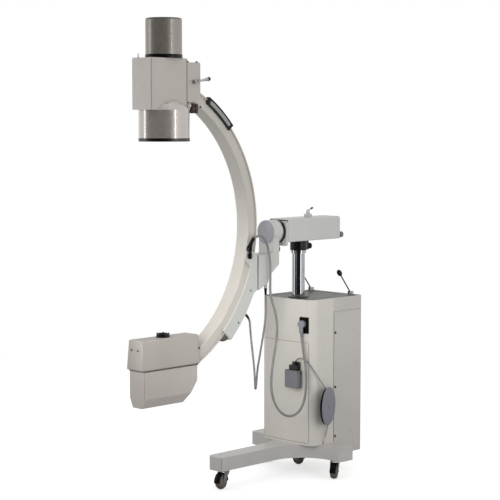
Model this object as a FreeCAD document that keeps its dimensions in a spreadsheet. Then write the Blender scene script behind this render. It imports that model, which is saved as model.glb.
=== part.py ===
import FreeCAD, Part
import math
import os

import Sketcher

# Mobile C-arm X-ray stand, in millimetres. +Z is up, -X points towards the C-arm and
# -Y is the near side. The origin is on the floor, in the middle of the machine's length.
# Every place below is measured from the column axis, which stands column_x along X.

Vector = FreeCAD.Vector
Rotation = FreeCAD.Rotation
UP = Vector(0, 0, 1)
ACROSS = Vector(0, 1, 0)

document = FreeCAD.newDocument("MobileCArm")
sheet = document.addObject("Spreadsheet::Sheet", "Sizes")


class Size:
    # A length or angle together with the spreadsheet expression that it comes from.
    def __init__(self, value, text):
        self.value = float(value)
        self.text = text

    def __add__(self, other):
        other = as_size(other)
        return Size(self.value + other.value, f"({self.text} + {other.text})")

    def __sub__(self, other):
        other = as_size(other)
        return Size(self.value - other.value, f"({self.text} - {other.text})")

    def __mul__(self, other):
        other = as_size(other)
        return Size(self.value * other.value, f"({self.text} * {other.text})")

    def __truediv__(self, other):
        other = as_size(other)
        return Size(self.value / other.value, f"({self.text} / {other.text})")

    def __neg__(self):
        return Size(-self.value, f"(-1 * {self.text})")

    def __radd__(self, other):
        return as_size(other) + self

    def __rsub__(self, other):
        return as_size(other) - self

    def __rmul__(self, other):
        return as_size(other) * self


def as_size(item):
    return item if isinstance(item, Size) else Size(item, f"({item!r})")


def value(item):
    return item.value if isinstance(item, Size) else float(item)


def cosine(angle):
    return Size(math.cos(math.radians(value(angle))), f"cos({as_size(angle).text})")


def sine(angle):
    return Size(math.sin(math.radians(value(angle))), f"sin({as_size(angle).text})")


def arctangent(up, along):
    angle = math.degrees(math.atan2(value(up), value(along)))
    return Size(angle, f"atan({as_size(up).text} / {as_size(along).text})")


def root(item):
    return Size(math.sqrt(value(item)), f"sqrt({as_size(item).text})")


def square(item):
    return item * item


cells = {}


def size(alias, number, note):
    # One driving dimension: its note, its cell and its alias.
    line = len(cells) + 1
    sheet.set(f"A{line}", note)
    sheet.set(f"B{line}", str(number))
    sheet.setAlias(f"B{line}", alias)
    cells[alias] = number
    return Size(number, f"Sizes.{alias}")


# Clearances
running = size("runningGap", 0.06, "radial clearance of a shaft in its bore")
gap = size("movingGap", 0.3, "clearance between pieces that move on each other")
seam = size("seamGap", 0.8, "shadow gap around a cover")

# Floor, base and casters
column_x = size("columnX", 397, "column axis from the middle of the length")
base_bottom = size("baseBottom", 94, "underside of the base above the floor")
base_height = size("baseHeight", 66, "height of the base casting")
base_wall = size("baseWall", 7, "wall of the base casting")
leg_half = size("legHalf", 48, "half width of the front leg")
leg_reach = size("legReach", 580, "leg tip ahead of the column axis")
leg_tip_radius = size("legTipRadius", 26, "rounding of the leg tip")
bar_half = size("barHalf", 310, "half length of the cross bar")
bar_front = size("barFront", 27, "front edge of the cross bar ahead of the column")
bar_back = size("barBack", 75, "rear edge of the cross bar behind the column")
bar_end_radius = size("barEndRadius", 22, "rounding of the cross bar's ends")
root_radius = size("rootRadius", 190, "fillet between leg and cross bar")
wheel_radius = size("wheelRadius", 37.5, "caster wheel")
wheel_half = size("wheelHalf", 15, "half width of the caster tread")
wheel_hub_half = size("wheelHubHalf", 16, "half width of the caster hub")
tread_crown = size("treadCrown", 6, "height of the rounded tread")
trail = size("casterTrail", 28, "wheel axle behind the swivel axis")
caster_plate = size("casterPlate", 4, "caster top plate")
fork_leg = size("forkLeg", 3, "thickness of a fork leg")
fork_crown = size("forkCrown", 7, "thickness of the fork crown")
kingpin_radius = size("kingpinRadius", 6, "caster kingpin")
axle_radius = size("axleRadius", 4, "caster axle")
front_caster_x = size("frontCasterX", 515, "front caster ahead of the column")
side_caster_x = size("sideCasterX", 23, "side casters behind the column")
side_caster_y = size("sideCasterY", 230, "side casters from the middle")
rear_caster_x = size("rearCasterX", 100, "rear caster behind the column")
rear_caster_y = size("rearCasterY", 72, "rear caster towards the far side")

# Cabinet
cabinet_half = size("cabinetHalf", 176, "half width of the cabinet")
cabinet_front = size("cabinetFront", 100, "front crown ahead of the column")
cabinet_corner = size("cabinetCorner", 84, "front corner ahead of the column before rounding")
corner_radius = size("cornerRadius", 48, "rounding of the front corners")
cabinet_rear = size("cabinetRear", 279, "rear face behind the column")
rear_radius = size("rearRadius", 10, "rounding of the rear corners")
cabinet_wall = size("cabinetWall", 3, "moulded and sheet walls")
rim_top = size("rimTop", 880, "rim of the cabinet above the floor")
deck_drop = size("deckDrop", 4, "deck below the rim")
deck_plate = size("deckPlate", 6, "deck thickness")
side_seam = size("sideSeam", 68, "seam between front shell and side panel")
band_bottom = size("bandBottom", 813, "underside of the top band")
panel_low = size("panelLow", 173, "lower seam of the front panel")
panel_high = size("panelHigh", 670, "upper seam of the front panel")
panel_near = size("panelNear", 150, "near seam of the front panel from the middle")
panel_far = size("panelFar", 165, "far seam of the front panel from the middle")
floor_plate = size("floorPlate", 5, "cabinet floor plate")
post_width = size("postWidth", 26, "inner frame post")
post_wall = size("postWall", 3, "inner frame post wall")
vent_width = size("ventWidth", 90, "length of a rear vent slot")
vent_height = size("ventHeight", 6, "height of a rear vent slot")
vent_pitch = size("ventPitch", 18, "spacing of the rear vent slots")
vent_low = size("ventLow", 150, "lowest rear vent slot")
vent_count = 9

# Column and its lift
column_radius = size("columnRadius", 32, "chromed inner column")
column_wall = size("columnWall", 6, "wall of the inner column")
column_low = size("columnLow", 362, "lower end of the inner column at rest")
column_top = size("columnTop", 1112, "top of the inner column at rest")
sleeve_radius = size("sleeveRadius", 46, "outer sleeve of the column")
sleeve_bore = size("sleeveBore", 36, "bore of the outer sleeve")
sleeve_foot = size("sleeveFoot", 75, "foot flange of the sleeve")
inverter_gap = size("inverterGap", 40, "power inverter behind the sleeve's foot")
inverter_length = size("inverterLength", 130, "case of the power inverter")
inverter_half = size("inverterHalf", 110, "half width of the power inverter")
inverter_height = size("inverterHeight", 320, "height of the power inverter")
fin_count = 9
fin_pitch = size("finPitch", 24, "spacing of the inverter's cooling fins")
fin_thick = size("finThick", 6, "cooling fin")
fin_reach = size("finReach", 16, "length of a cooling fin")
fin_margin = size("finMargin", 40, "cooling fins from the ends of the case")
foot_plate = size("footPlate", 12, "thickness of the foot flange")
bush_length = size("bushLength", 28, "column bushes")
piston_length = size("pistonLength", 30, "guide nut at the column's lower end")
screw_radius = size("screwRadius", 9, "lift screw")
screw_top = size("screwTop", 700, "upper end of the lift screw")
motor_top = size("motorTop", 204, "top of the lift motor")
cap_radius = size("capRadius", 38, "ring at the column's top")
cap_height = size("capHeight", 14, "height of that ring")
spigot_radius = size("spigotRadius", 20, "spigot that the arm turns on")
spigot_height = size("spigotHeight", 38, "height of that spigot")
deck_collar = size("deckCollar", 50, "collar on the deck round the column")

# Pan collar and arm housing
collar_radius = size("collarRadius", 42, "pan collar")
lug_reach = size("lugReach", 62, "clamp lug behind the column axis")
lug_half = size("lugHalf", 12, "half width of the clamp lug")
housing_bottom = size("housingBottom", 1161, "underside of the arm housing")
housing_height = size("housingHeight", 112, "height of the arm housing")
housing_half = size("housingHalf", 65, "half width of the arm housing")
housing_front = size("housingFront", 139, "front of the arm housing ahead of the column")
housing_rear = size("housingRear", 235, "rear of the arm housing behind the column")
housing_wall = size("housingWall", 5, "wall of the arm housing")
housing_round = size("housingRound", 12, "top edges of the arm housing")
housing_round_low = size("housingRoundLow", 5, "lower edges of the arm housing")
flange_thick = size("flangeThick", 12, "front flange of the housing")
flange_low = size("flangeLow", 1143, "lower edge of the front flange")
flange_high = size("flangeHigh", 1264, "upper edge of the front flange")
flange_half = size("flangeHalf", 61, "half width of the front flange")
flange_round = size("flangeRound", 10, "corners of the front flange")
ring_thick = size("ringThick", 14, "guide ring in front of the flange")
knob_radius = size("knobRadius", 15, "clamp knobs")
knob_length = size("knobLength", 25, "clamp knob length")

# Cross arm and rotating hub
hub_z = size("hubHeight", 1212.5, "rotation axis above the floor")
arm_radius = size("armRadius", 45, "sliding cross arm")
arm_wall = size("armWall", 7, "wall of the cross arm")
arm_rear = size("armRear", 205, "rear end of the cross arm behind the column")
arm_front = size("armFront", 176, "hub seat of the cross arm ahead of the column")
arm_flange = size("armFlange", 8, "flange that the hub runs on")
runner_length = size("runnerLength", 20, "square runner at the cross arm's rear end")
pivot_radius = size("pivotRadius", 30, "rotation spigot")
pivot_length = size("pivotLength", 50, "length of the rotation spigot")
hub_radius = size("hubRadius", 57.5, "rotating hub")
hub_front = size("hubFront", 231, "front of the hub ahead of the column")
hub_cap = size("hubCap", 10, "crown of the hub's cap")
block_half = size("blockHalf", 50, "half width of the rotor block")
block_front = size("blockFront", 329, "front of the rotor block")
block_back = size("blockBack", 190, "rear of the rotor block")
block_top = size("blockTop", 1110, "top of the rotor block")
block_step = size("blockStep", 1057, "lower corner of the block's rear face")
block_low = size("blockLow", 941, "lowest point of the rotor block")
block_heel_x = size("blockHeelX", 254, "upper end of the block's sloped heel")
block_heel_z = size("blockHeelZ", 1008, "height of that end")
block_toe_x = size("blockToeX", 268, "lower end of the block's sloped heel")
block_toe_z = size("blockToeZ", 970, "height of that end")

# C profile and its carriage
c_x = size("cCentreX", 1038.5, "centre of the C ahead of the column")
c_z = size("cCentreZ", 1256.9, "centre of the C above the floor")
c_outer = size("cOuter", 707.5, "outer radius of the C")
c_inner = size("cInner", 646.6, "inner radius of the C")
c_half = size("cHalf", 38.75, "half width of the C")
c_span = size("cSpan", 66, "half angle of the C")
c_edge = size("cEdge", 2, "edge chamfer of the C")
track_inset = size("trackInset", 7.5, "side track inside the outer edge of the C")
track_width = size("trackWidth", 14, "width of the side tracks")
track_depth = size("trackDepth", 6, "depth of the side tracks")
cheek_inner = size("cheekInner", 682, "inner radius of the carriage cheeks")
cheek_outer = size("cheekOuter", 748, "outer radius of the carriage")
cheek_half = size("cheekHalf", 52, "half width of the carriage")
channel_gap = size("channelGap", 1, "clearance beside the C in its carriage")
channel_radius = size("channelRadius", 727.5, "bottom of the carriage channel")
carriage_edge = size("carriageEdge", 343, "rear edge of the carriage")
carriage_top = size("carriageTop", 1113, "top of the carriage")
carriage_step = size("carriageStep", 942, "lower end of the straight rear edge")
carriage_low = size("carriageLow", 46, "lower end of the carriage, degrees below the middle")
carriage_bend = size("carriageBend", 26, "start of the round back, degrees below the middle")
saddle_half = size("saddleHalf", 35, "half width of the spacer behind the carriage")
saddle_low = size("saddleLow", 956, "lower edge of that spacer")
saddle_high = size("saddleHigh", 1098, "upper edge of that spacer")
grip_angle = size("gripAngle", 49, "middle of the grip on the C, degrees")
grip_span = size("gripSpan", 16, "length of the grip, degrees")
grip_proud = size("gripProud", 8, "grip beside the C")
grip_rise = size("gripRise", 10, "grip outside the C")

# Tube head
head_left = size("headLeft", 1058, "far end of the head ahead of the column")
head_right = size("headRight", 735, "near end of the head ahead of the column")
head_seam = size("headSeam", 630, "seam between head body and cover")
head_low = size("headLow", 457, "underside of the head")
head_half = size("headHalf", 50, "half width of the head body")
head_wall = size("headWall", 4, "wall of the head")
head_floor = size("headFloor", 505, "floor of the head's cavity")
head_bevel = size("headBevel", 20, "bevel along the head's lower edges, sideways")
head_bevel_up = size("headBevelUp", 43, "bevel along the head's lower edges, upwards")
heel_high = size("headHeelHigh", 97, "start of the head's sloped near end, above its underside")
heel_middle = size("headHeelMiddle", 49, "bend in that slope, above the underside")
heel_in = size("headHeelIn", 34, "bend in that slope, from the near end")
heel_foot = size("headHeelFoot", 72, "foot of that slope, from the near end")
cover_left = size("coverLeft", 1073, "far end of the cover")
cover_right = size("coverRight", 720, "near end of the cover")
cover_top = size("coverTop", 766, "top of the cover")
cover_half = size("coverHalf", 56, "half width of the cover")
cover_slope = size("coverSlope", 24, "sloped corner of the cover, along")
cover_slope_up = size("coverSlopeUp", 36, "sloped corner of the cover, upwards")
cover_round = size("coverRound", 7, "edges of the cover")
port_x = size("portX", 902, "collimator port ahead of the column")
port_radius = size("portRadius", 31, "collimator port ring")
port_bore = size("portBore", 22, "opening of the port ring")
port_height = size("portHeight", 17, "port ring above the cover")

# Image intensifier
beam_x = size("beamX", 888.5, "intensifier axis ahead of the column")
can_radius = size("canRadius", 115.3, "intensifier can")
can_wall = size("canWall", 4.3, "wall of the can")
can_low = size("canLow", 1671, "lower edge of the can")
can_shoulder = size("canShoulder", 1798, "shoulder of the can")
dome_z = size("domeHeight", 1725, "centre of the dome above the floor")
dome_neck = size("domeNeck", 60, "radius where the dome ends")
rim_low = size("rimLow", 1656, "lower edge of the intensifier's rim")
rim_proud = size("rimProud", 0.9, "rim outside the can")
window_inset = size("windowInset", 8, "entrance window above the rim's edge")
window_radius = size("windowRadius", 104, "entrance window")
box_left = size("boxLeft", 1021, "far end of the intensifier housing")
box_right = size("boxRight", 806.5, "near end of the intensifier housing")
box_half = size("boxHalf", 65, "half width of the intensifier housing")
box_top = size("boxTop", 2029, "top of the intensifier housing")
box_wall = size("boxWall", 4, "wall of the intensifier housing")
box_round = size("boxRound", 4, "upright edges of the intensifier housing")
camera_radius = size("cameraRadius", 82.5, "camera housing")
camera_seat = size("cameraSeat", 8, "ring between the intensifier housing and the camera housing")
camera_height = size("cameraHeight", 172, "camera housing, from its underside to its top")
camera_bottom = box_top + camera_seat
camera_top = camera_bottom + camera_height
camera_round = size("cameraRound", 9, "top edge of the camera housing")
camera_neck = size("cameraNeck", 79, "ring under the camera housing")
camera_foot = size("cameraFoot", 58, "foot of the camera on its ring")
camera_body = size("cameraBody", 46, "radius of the camera inside its housing")
camera_taper = size("cameraTaper", 24, "height of the camera's tapered foot")
camera_bevel = size("cameraBevel", 12, "height of the camera's bevelled end")
camera_end = size("cameraEnd", 38, "radius of the camera's end")
camera_room = size("cameraRoom", 50, "from the camera's end to the top of its housing")
bracket_right = size("bracketRight", 720, "rear of the C's end bracket")
bracket_half = size("bracketHalf", 60, "half width of the end bracket")
bracket_low = size("bracketLow", 1834, "underside of the end bracket")
bracket_top = size("bracketTop", 2013, "top of the end bracket")
bracket_floor = size("bracketFloor", 1912, "floor of the end bracket's hollow")

# Fittings and cables
inlet_x = size("inletX", 88, "inlet plate's middle ahead of the column")
inlet_y = size("inletY", 125, "inlet plate's middle towards the near side")
inlet_z = size("inletZ", 755, "inlet plate's middle above the floor")
inlet_half = size("inletHalf", 25, "half width of the inlet plate")
inlet_rise = size("inletRise", 40, "half height of the inlet plate")
inlet_proud = size("inletProud", 6, "inlet plate outside the shell")
inlet_depth = size("inletDepth", 30, "inlet box inside the shell")
inlet_turn = size("inletTurn", 200, "heading of the inlet's face, degrees")
plug_radius = size("plugRadius", 18, "mains plug body")
plug_depth = size("plugDepth", 22, "depth of the plug body")
plug_side = size("plugSide", 9, "plug beside the inlet's middle")
plug_rise = size("plugRise", 7, "plug above the inlet's middle")
boot_radius = size("bootRadius", 8, "cable boot of the plug")
boot_length = size("bootLength", 24, "cable boot below the plug body")
lever_x = size("leverX", 253, "brake lever pivots behind the column")
lever_near = size("leverNear", 122, "near lever from the middle")
lever_far = size("leverFar", 148, "far lever from the middle")
lever_pivot = size("leverPivot", 889, "lever pivots above the floor")
lever_run = size("leverRun", 84, "ball ahead of the pivot at rest")
lever_rise = size("leverRise", 105, "ball above the pivot at rest")
lever_rod = size("leverRod", 3.5, "lever rod")
lever_eye = size("leverEye", 8, "eye at the lever's foot")
lever_plate = size("leverPlate", 8, "thickness of that eye")
lever_pin = size("leverPin", 3, "lever pivot pin")
clevis_long = size("clevisLong", 12, "half length of a clevis")
clevis_cheek = size("clevisCheek", 5, "cheek of a clevis beside the lever")
ball_radius = size("ballRadius", 12.5, "lever ball across")
ball_half = size("ballHalf", 19, "lever ball, half height")
switch_near = size("switchNear", 121, "foot switch, near edge from the middle")
switch_far = size("switchFar", 38, "foot switch, far edge from the middle")
switch_low = size("switchLow", 448, "foot switch, lower edge")
switch_high = size("switchHigh", 531, "foot switch, upper edge")
switch_back = size("switchBack", 101.5, "back of the foot switch ahead of the column")
switch_depth = size("switchDepth", 22, "foot switch case")
pedal_gap = size("pedalGap", 9, "pedal travel at its free edge")
pedal_thick = size("pedalThick", 4, "pedal plate")
hinge_radius = size("pedalHinge", 4, "pedal hinge pin")
hook_high = size("hookHigh", 572, "top of the foot switch's hook")
winder_x = size("winderX", 11, "cable winder ahead of the column")
winder_y = size("winderY", 214, "cable winder from the middle")
winder_z = size("winderZ", 357, "cable winder above the floor")
winder_radius = size("winderRadius", 94, "winder disc")
winder_plate = size("winderPlate", 5, "winder disc thickness")
drum_radius = size("drumRadius", 16, "winder drum")
guard_span = size("guardSpan", 150, "angle that the guard behind the disc covers")
drum_depth = size("drumDepth", 24, "winder drum depth")
rim_depth = size("rimDepth", 10, "depth of the guard behind the winder disc")
winder_turn = size("winderTurn", 22.6, "winder turned from the side panel, degrees")
knob_stud = size("knobStud", 4, "threaded stud of a clamp knob")
stud_length = size("studLength", 12, "length of that stud")
pan_knob_z = size("panKnobHeight", 1129, "pan clamp knob above the floor")
travel_knob_y = size("travelKnobY", 45, "travel clamp knob from the middle")
travel_knob_z = size("travelKnobHeight", 1179, "travel clamp knob above the floor")
travel_knob_length = size("travelKnobLength", 34, "travel clamp knob length")
rotation_knob_x = size("rotationKnobX", 146, "rotation clamp knob ahead of the column")
rotation_knob_radius = size("rotationKnobRadius", 10, "rotation clamp knob")
rotation_knob_length = size("rotationKnobLength", 30, "rotation clamp knob length")
rotation_stud = size("rotationStud", 3, "stud of the rotation clamp knob")
lock_x = size("lockX", 68, "arm clamp behind the column")
lock_boss = size("lockBoss", 20, "boss under the arm clamp")
lock_boss_height = size("lockBossHeight", 15, "height of that boss")
lock_radius = size("lockRadius", 10, "arm clamp lever's hub")
lock_height = size("lockHeight", 22, "height of that hub")
neck_front = size("neckFront", 229, "front of the rotor's neck")
neck_round = size("neckRound", 8, "rounding of the rotor block's corners")
roller_first = size("rollerFirst", 20, "first roller, degrees below the middle")
roller_pitch = size("rollerPitch", 7.6, "degrees between the rollers")
roller_stub = size("rollerStub", 6.6, "side rollers in the C's tracks")
brake_angle = size("brakeAngle", 32, "brake lever, degrees below the middle")
brake_boss = size("brakeBoss", 9, "brake lever's hub")
pivot_x = size("orbitPivotX", 414, "orbital clamp lever ahead of the column")
pivot_z = size("orbitPivotHeight", 1144, "orbital clamp lever above the floor")
bracket_plate = size("bracketPlate", 4, "bracket on the near cheek")
connector_x = size("connectorX", 407, "cable connector ahead of the column")
connector_y = size("connectorY", 68, "cable connector from the middle")
connector_low = size("connectorLow", 1097, "underside of the cable connector")
connector_high = size("connectorHigh", 1133, "top of the cable connector")
connector_radius = size("connectorRadius", 9, "cable connector")
ii_lever_x = size("iiLeverX", 763, "intensifier clamp lever ahead of the column")
ii_lever_z = size("iiLeverHeight", 1925, "intensifier clamp lever above the floor")
ii_lever_reach = size("iiLeverReach", 92, "length of the intensifier clamp lever")
ii_lever_lean = size("iiLeverLean", 9.7, "rise of that lever, degrees")
main_cable_radius = size("mainCableRadius", 6, "main cable")
arm_cable_radius = size("armCableRadius", 5, "cable of the rotor")
switch_cable_radius = size("switchCableRadius", 3, "foot switch cable")
arm_gland_x = size("armGlandX", 270, "cable gland under the rotor block")
arm_gland_y = size("armGlandY", 36, "that gland towards the near side")
arm_gland_z = size("armGlandHeight", 945, "mouth of that gland")
gland_radius = size("glandRadius", 8, "cable glands")
gland_length = size("glandLength", 18, "cable glands outside their seats")
gland_angle = size("glandAngle", 34, "gland on the carriage, degrees below the middle")
gland_y = size("glandY", 30, "gland on the carriage towards the near side")
switch_gland_x = size("switchGlandX", 6, "switch cable gland on the base")
switch_gland_y = size("switchGlandY", 188, "switch cable gland from the middle")
switch_gland = size("switchGland", 6, "switch cable gland")
front_heading = size("frontHeading", 15, "front caster, rolling direction in degrees")
near_heading = size("nearHeading", 31, "near caster, rolling direction in degrees")
far_heading = size("farHeading", 215, "far caster, rolling direction in degrees")
rear_heading = size("rearHeading", 255, "rear caster, rolling direction in degrees")


def bind(item, name, amount):
    if isinstance(amount, Size):
        item.setExpression(name, amount.text)


def place(item, x, y, z, turn=None):
    # Puts an object at a place measured from the column axis. turn is (axis, angle).
    spot = (x + column_x, y, z)
    axis, angle = turn or (UP, 0)
    item.Placement = FreeCAD.Placement(Vector(*map(value, spot)), Rotation(axis, value(angle)))
    for letter, amount in zip("xyz", spot):
        bind(item, f"Placement.Base.{letter}", amount)
    if turn:
        bind(item, "Placement.Rotation.Angle", angle)


def block(name, x, y, z):
    # A rectangular piece from its three ranges.
    item = document.addObject("Part::Box", name)
    for side, (low, high) in zip(("Length", "Width", "Height"), (x, y, z)):
        setattr(item, side, value(high) - value(low))
        bind(item, side, as_size(high) - low)
    place(item, x[0], y[0], z[0])
    return item


def rod(name, radius, start, direction, length):
    # A round bar from its start, along a direction.
    item = document.addObject("Part::Cylinder", name)
    item.Radius = value(radius)
    bind(item, "Radius", radius)
    item.Height = value(length)
    bind(item, "Height", length)
    turn = Rotation(UP, direction)
    place(item, *start, (turn.Axis, math.degrees(turn.Angle)))
    return item


def cut(name, base, tool):
    item = document.addObject("Part::Cut", name)
    item.Base = base
    item.Tool = tool
    return item


def common(name, base, tool):
    item = document.addObject("Part::Common", name)
    item.Base = base
    item.Tool = tool
    return item


def fuse(name, pieces):
    item = document.addObject("Part::MultiFuse", name)
    item.Shapes = pieces
    item.Refine = True
    return item


def group(name, pieces):
    item = document.addObject("Part::Compound", name)
    item.Links = pieces
    return item


def solid(name, x=0, y=0, z=0, turn=None):
    # A body whose sketches are measured from the given place.
    item = document.addObject("PartDesign::Body", name)
    place(item, as_size(x), y, z, turn)
    return item


def blank_sketch(body, name, plane, offset):
    drawing = body.newObject("Sketcher::SketchObject", name)
    face = next(f for f in body.Origin.OriginFeatures if f.Role == plane)
    drawing.AttachmentSupport = (face, [""])
    drawing.MapMode = "FlatFace"
    drawing.AttachmentOffset = FreeCAD.Placement(Vector(0, 0, value(offset)), Rotation())
    bind(drawing, "AttachmentOffset.Base.z", offset)
    return drawing


def fix_point(drawing, index, end, corner):
    # Ties one end of a line or arc to its two coordinates.
    for kind, axis, amount in (("DistanceX", -2, corner[0]), ("DistanceY", -1, corner[1])):
        if value(amount) == 0:
            drawing.addConstraint(Sketcher.Constraint("PointOnObject", index, end, axis))
            continue
        rule = Sketcher.Constraint(kind, -1, 1, index, end, value(amount))
        number = drawing.addConstraint(rule)
        bind(drawing, f"Constraints[{number}]", amount)


def outline(body, name, plane, corners, arcs=None, offset=0):
    # A closed outline. arcs gives (radius, centre) for the side that leaves a corner.
    drawing = blank_sketch(body, name, plane, offset)
    arcs = arcs or {}
    sides = []
    for n, corner in enumerate(corners):
        after = corners[(n + 1) % len(corners)]
        a = Vector(value(corner[0]), value(corner[1]), 0)
        b = Vector(value(after[0]), value(after[1]), 0)
        if n not in arcs:
            sides.append((drawing.addGeometry(Part.LineSegment(a, b), False), 1, 2))
            continue
        radius, centre = arcs[n]
        middle = Vector(value(centre[0]), value(centre[1]), 0)
        along = (a - middle).cross(b - middle).z > 0
        start, end = (a, b) if along else (b, a)
        angles = [math.atan2(p.y - middle.y, p.x - middle.x) for p in (start, end)]
        full = Part.Circle(middle, UP, value(radius))
        number = drawing.addGeometry(Part.ArcOfCircle(full, *angles), False)
        sides.append((number, 1, 2) if along else (number, 2, 1))
        rule = drawing.addConstraint(Sketcher.Constraint("Radius", number, value(radius)))
        bind(drawing, f"Constraints[{rule}]", radius)
    for n, (number, _, last) in enumerate(sides):
        follower, first, _ = sides[(n + 1) % len(sides)]
        drawing.addConstraint(Sketcher.Constraint("Coincident", number, last, follower, first))
    for (number, first, _), corner in zip(sides, corners):
        fix_point(drawing, number, first, corner)
    return drawing


def circle(body, name, plane, centre, radius, offset=0):
    drawing = blank_sketch(body, name, plane, offset)
    middle = Vector(value(centre[0]), value(centre[1]), 0)
    number = drawing.addGeometry(Part.Circle(middle, UP, value(radius)), False)
    fix_point(drawing, number, 3, centre)
    rule = drawing.addConstraint(Sketcher.Constraint("Radius", number, value(radius)))
    bind(drawing, f"Constraints[{rule}]", radius)
    return drawing


def sound(feature):
    if not feature.isValid() or feature.Shape.isNull():
        raise ValueError(f"{feature.Name} has no shape")
    return feature


def extrude(kind, body, name, drawing, length, both=False, back=False):
    feature = body.newObject(f"PartDesign::{kind}", name)
    feature.Profile = drawing
    feature.Length = value(length)
    bind(feature, "Length", length)
    if both:
        feature.SideType = "Symmetric"
    feature.Reversed = back
    document.recompute([feature])
    return sound(feature)


def pad(body, name, drawing, length, both=False, back=False):
    return extrude("Pad", body, name, drawing, length, both, back)


def pocket(body, name, drawing, length, both=False, back=False):
    before = body.Tip.Shape.Volume
    feature = extrude("Pocket", body, name, drawing, length, both, back)
    if feature.Shape.Volume > before - 1:
        raise ValueError(f"{name} cuts nothing")
    return feature


def revolve(body, name, drawing, axis, angle=360, both=False):
    feature = body.newObject("PartDesign::Revolution", name)
    feature.Profile = drawing
    feature.ReferenceAxis = (drawing, [axis])
    feature.Angle = value(angle)
    bind(feature, "Angle", angle)
    feature.Midplane = both
    document.recompute([feature])
    return sound(feature)


def edges_through(shape, points):
    # Names of the edges that pass through the given points.
    names = []
    for spot in points:
        dot = Part.Vertex(Vector(*map(value, spot)))
        near = [n for n, e in enumerate(shape.Edges, 1) if e.distToShape(dot)[0] < 0.02]
        names += [f"Edge{n}" for n in near if f"Edge{n}" not in names]
    return names


def dress(kind, body, name, amount, points):
    # Rounds or bevels the edges of the body's last feature that pass through the points.
    base = body.Tip
    document.recompute()
    feature = body.newObject(f"PartDesign::{kind}", name)
    feature.Base = (base, edges_through(base.Shape, points))
    measure = "Radius" if kind == "Fillet" else "Size"
    setattr(feature, measure, value(amount))
    bind(feature, measure, amount)
    document.recompute([feature])
    return sound(feature)


def upright_turning(name, x, corners, arcs=None, y=0):
    # A round piece about an upright axis, from (radius, height) corners.
    body = solid(name, x, y)
    revolve(body, name + "_turning", outline(body, name + "_half", "XZ_Plane", corners, arcs), "V_Axis")
    return body


def level_turning(name, height, corners, arcs=None, y=0):
    # A round piece about an axis along X, from (x, radius) corners.
    body = solid(name, 0, y, height)
    revolve(body, name + "_turning", outline(body, name + "_half", "XZ_Plane", corners, arcs), "H_Axis")
    return body


def make_base_frame():
    # The T-shaped base: one casting, open underneath, with a boss over each caster.
    def tee(inset):
        leg = leg_half - inset
        front = -bar_front + inset
        back = bar_back - inset
        end = bar_half - inset
        centre_x = -bar_front - root_radius
        centre_y = leg_half + root_radius
        corners = [
            (-leg_reach + inset, -leg), (centre_x, -leg), (front, -centre_y), (front, -end),
            (back, -end), (back, end), (front, end), (front, centre_y), (centre_x, leg),
            (-leg_reach + inset, leg),
        ]
        reach = root_radius + inset
        arcs = {1: (reach, (centre_x, -centre_y)), 7: (reach, (centre_x, centre_y))}
        return corners, arcs

    body = solid("base_frame", z=base_bottom)
    corners, arcs = tee(as_size(0))
    pad(body, "base_casting", outline(body, "base_plan", "XY_Plane", corners, arcs), base_height)
    middle = base_height / 2
    tips = [(*corners[n], middle) for n in (0, 9)]
    dress("Fillet", body, "leg_tip", leg_tip_radius, tips)
    ends = [(*corners[n], middle) for n in (3, 4, 5, 6)]
    dress("Fillet", body, "bar_ends", bar_end_radius, ends)
    corners, arcs = tee(base_wall)
    hollow = outline(body, "base_inside", "XY_Plane", corners, arcs)
    pocket(body, "base_hollow", hollow, base_height - base_wall, back=True)
    boss = kingpin_radius * 4
    for n, (x, y) in enumerate(side_and_front_casters()):
        pad(body, f"caster_boss_{n}", circle(body, f"boss_{n}", "XY_Plane", (x, y), boss), base_height)
        seat_pin(body, n, x, y)
    spot = (-switch_gland_x, -switch_gland_y)
    gland = circle(body, "switch_gland_end", "XY_Plane", spot, switch_gland, offset=base_height)
    pad(body, "switch_gland", gland, 12)
    return body


def seat_pin(body, n, x, y):
    # The caster's fixed plate and kingpin, under the casting or the floor plate.
    plate = circle(body, f"plate_{n}", "XY_Plane", (x, y), kingpin_radius * 4)
    pad(body, f"caster_plate_{n}", plate, caster_plate, back=True)
    pin = circle(body, f"pin_{n}", "XY_Plane", (x, y), kingpin_radius)
    pad(body, f"kingpin_{n}", pin, caster_plate + gap + fork_crown, back=True)


def side_and_front_casters():
    return [
        (-front_caster_x, as_size(0)),
        (side_caster_x, -side_caster_y),
        (side_caster_x, side_caster_y),
    ]


def make_caster_fork(name, x, y, heading):
    # Fork crown and two legs, with the wheel's axle across them.
    body = solid(name, x, y, 0, (UP, heading))
    top = base_bottom - caster_plate - gap
    half = kingpin_radius * 3
    side = [
        (half, top), (-half - 6, top), (-trail - 10, wheel_radius + 8), (-trail - 8, wheel_radius - 9),
        (-trail + 8, wheel_radius - 9), (-trail + 12, wheel_radius + 8), (half, top - fork_crown - 6),
    ]
    inner = (wheel_hub_half + 1) * 2
    outer = inner + fork_leg * 2
    pad(body, name + "_plates", outline(body, name + "_side", "XZ_Plane", side), outer, both=True)
    under = top - fork_crown
    slot = [(inner / -2, 1), (inner / 2, 1), (inner / 2, under), (inner / -2, under)]
    channel = outline(body, name + "_channel", "YZ_Plane", slot)
    pocket(body, name + "_slot", channel, (trail + half) * 4, both=True)
    bore = circle(body, name + "_bore", "XY_Plane", (0, 0), kingpin_radius + running, offset=under - 1)
    pocket(body, name + "_pivot", bore, fork_crown + 2, back=True)
    axle = circle(body, name + "_axle_end", "XZ_Plane", (-trail, wheel_radius), axle_radius)
    pad(body, name + "_axle", axle, outer + 6, both=True)
    return body


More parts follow.
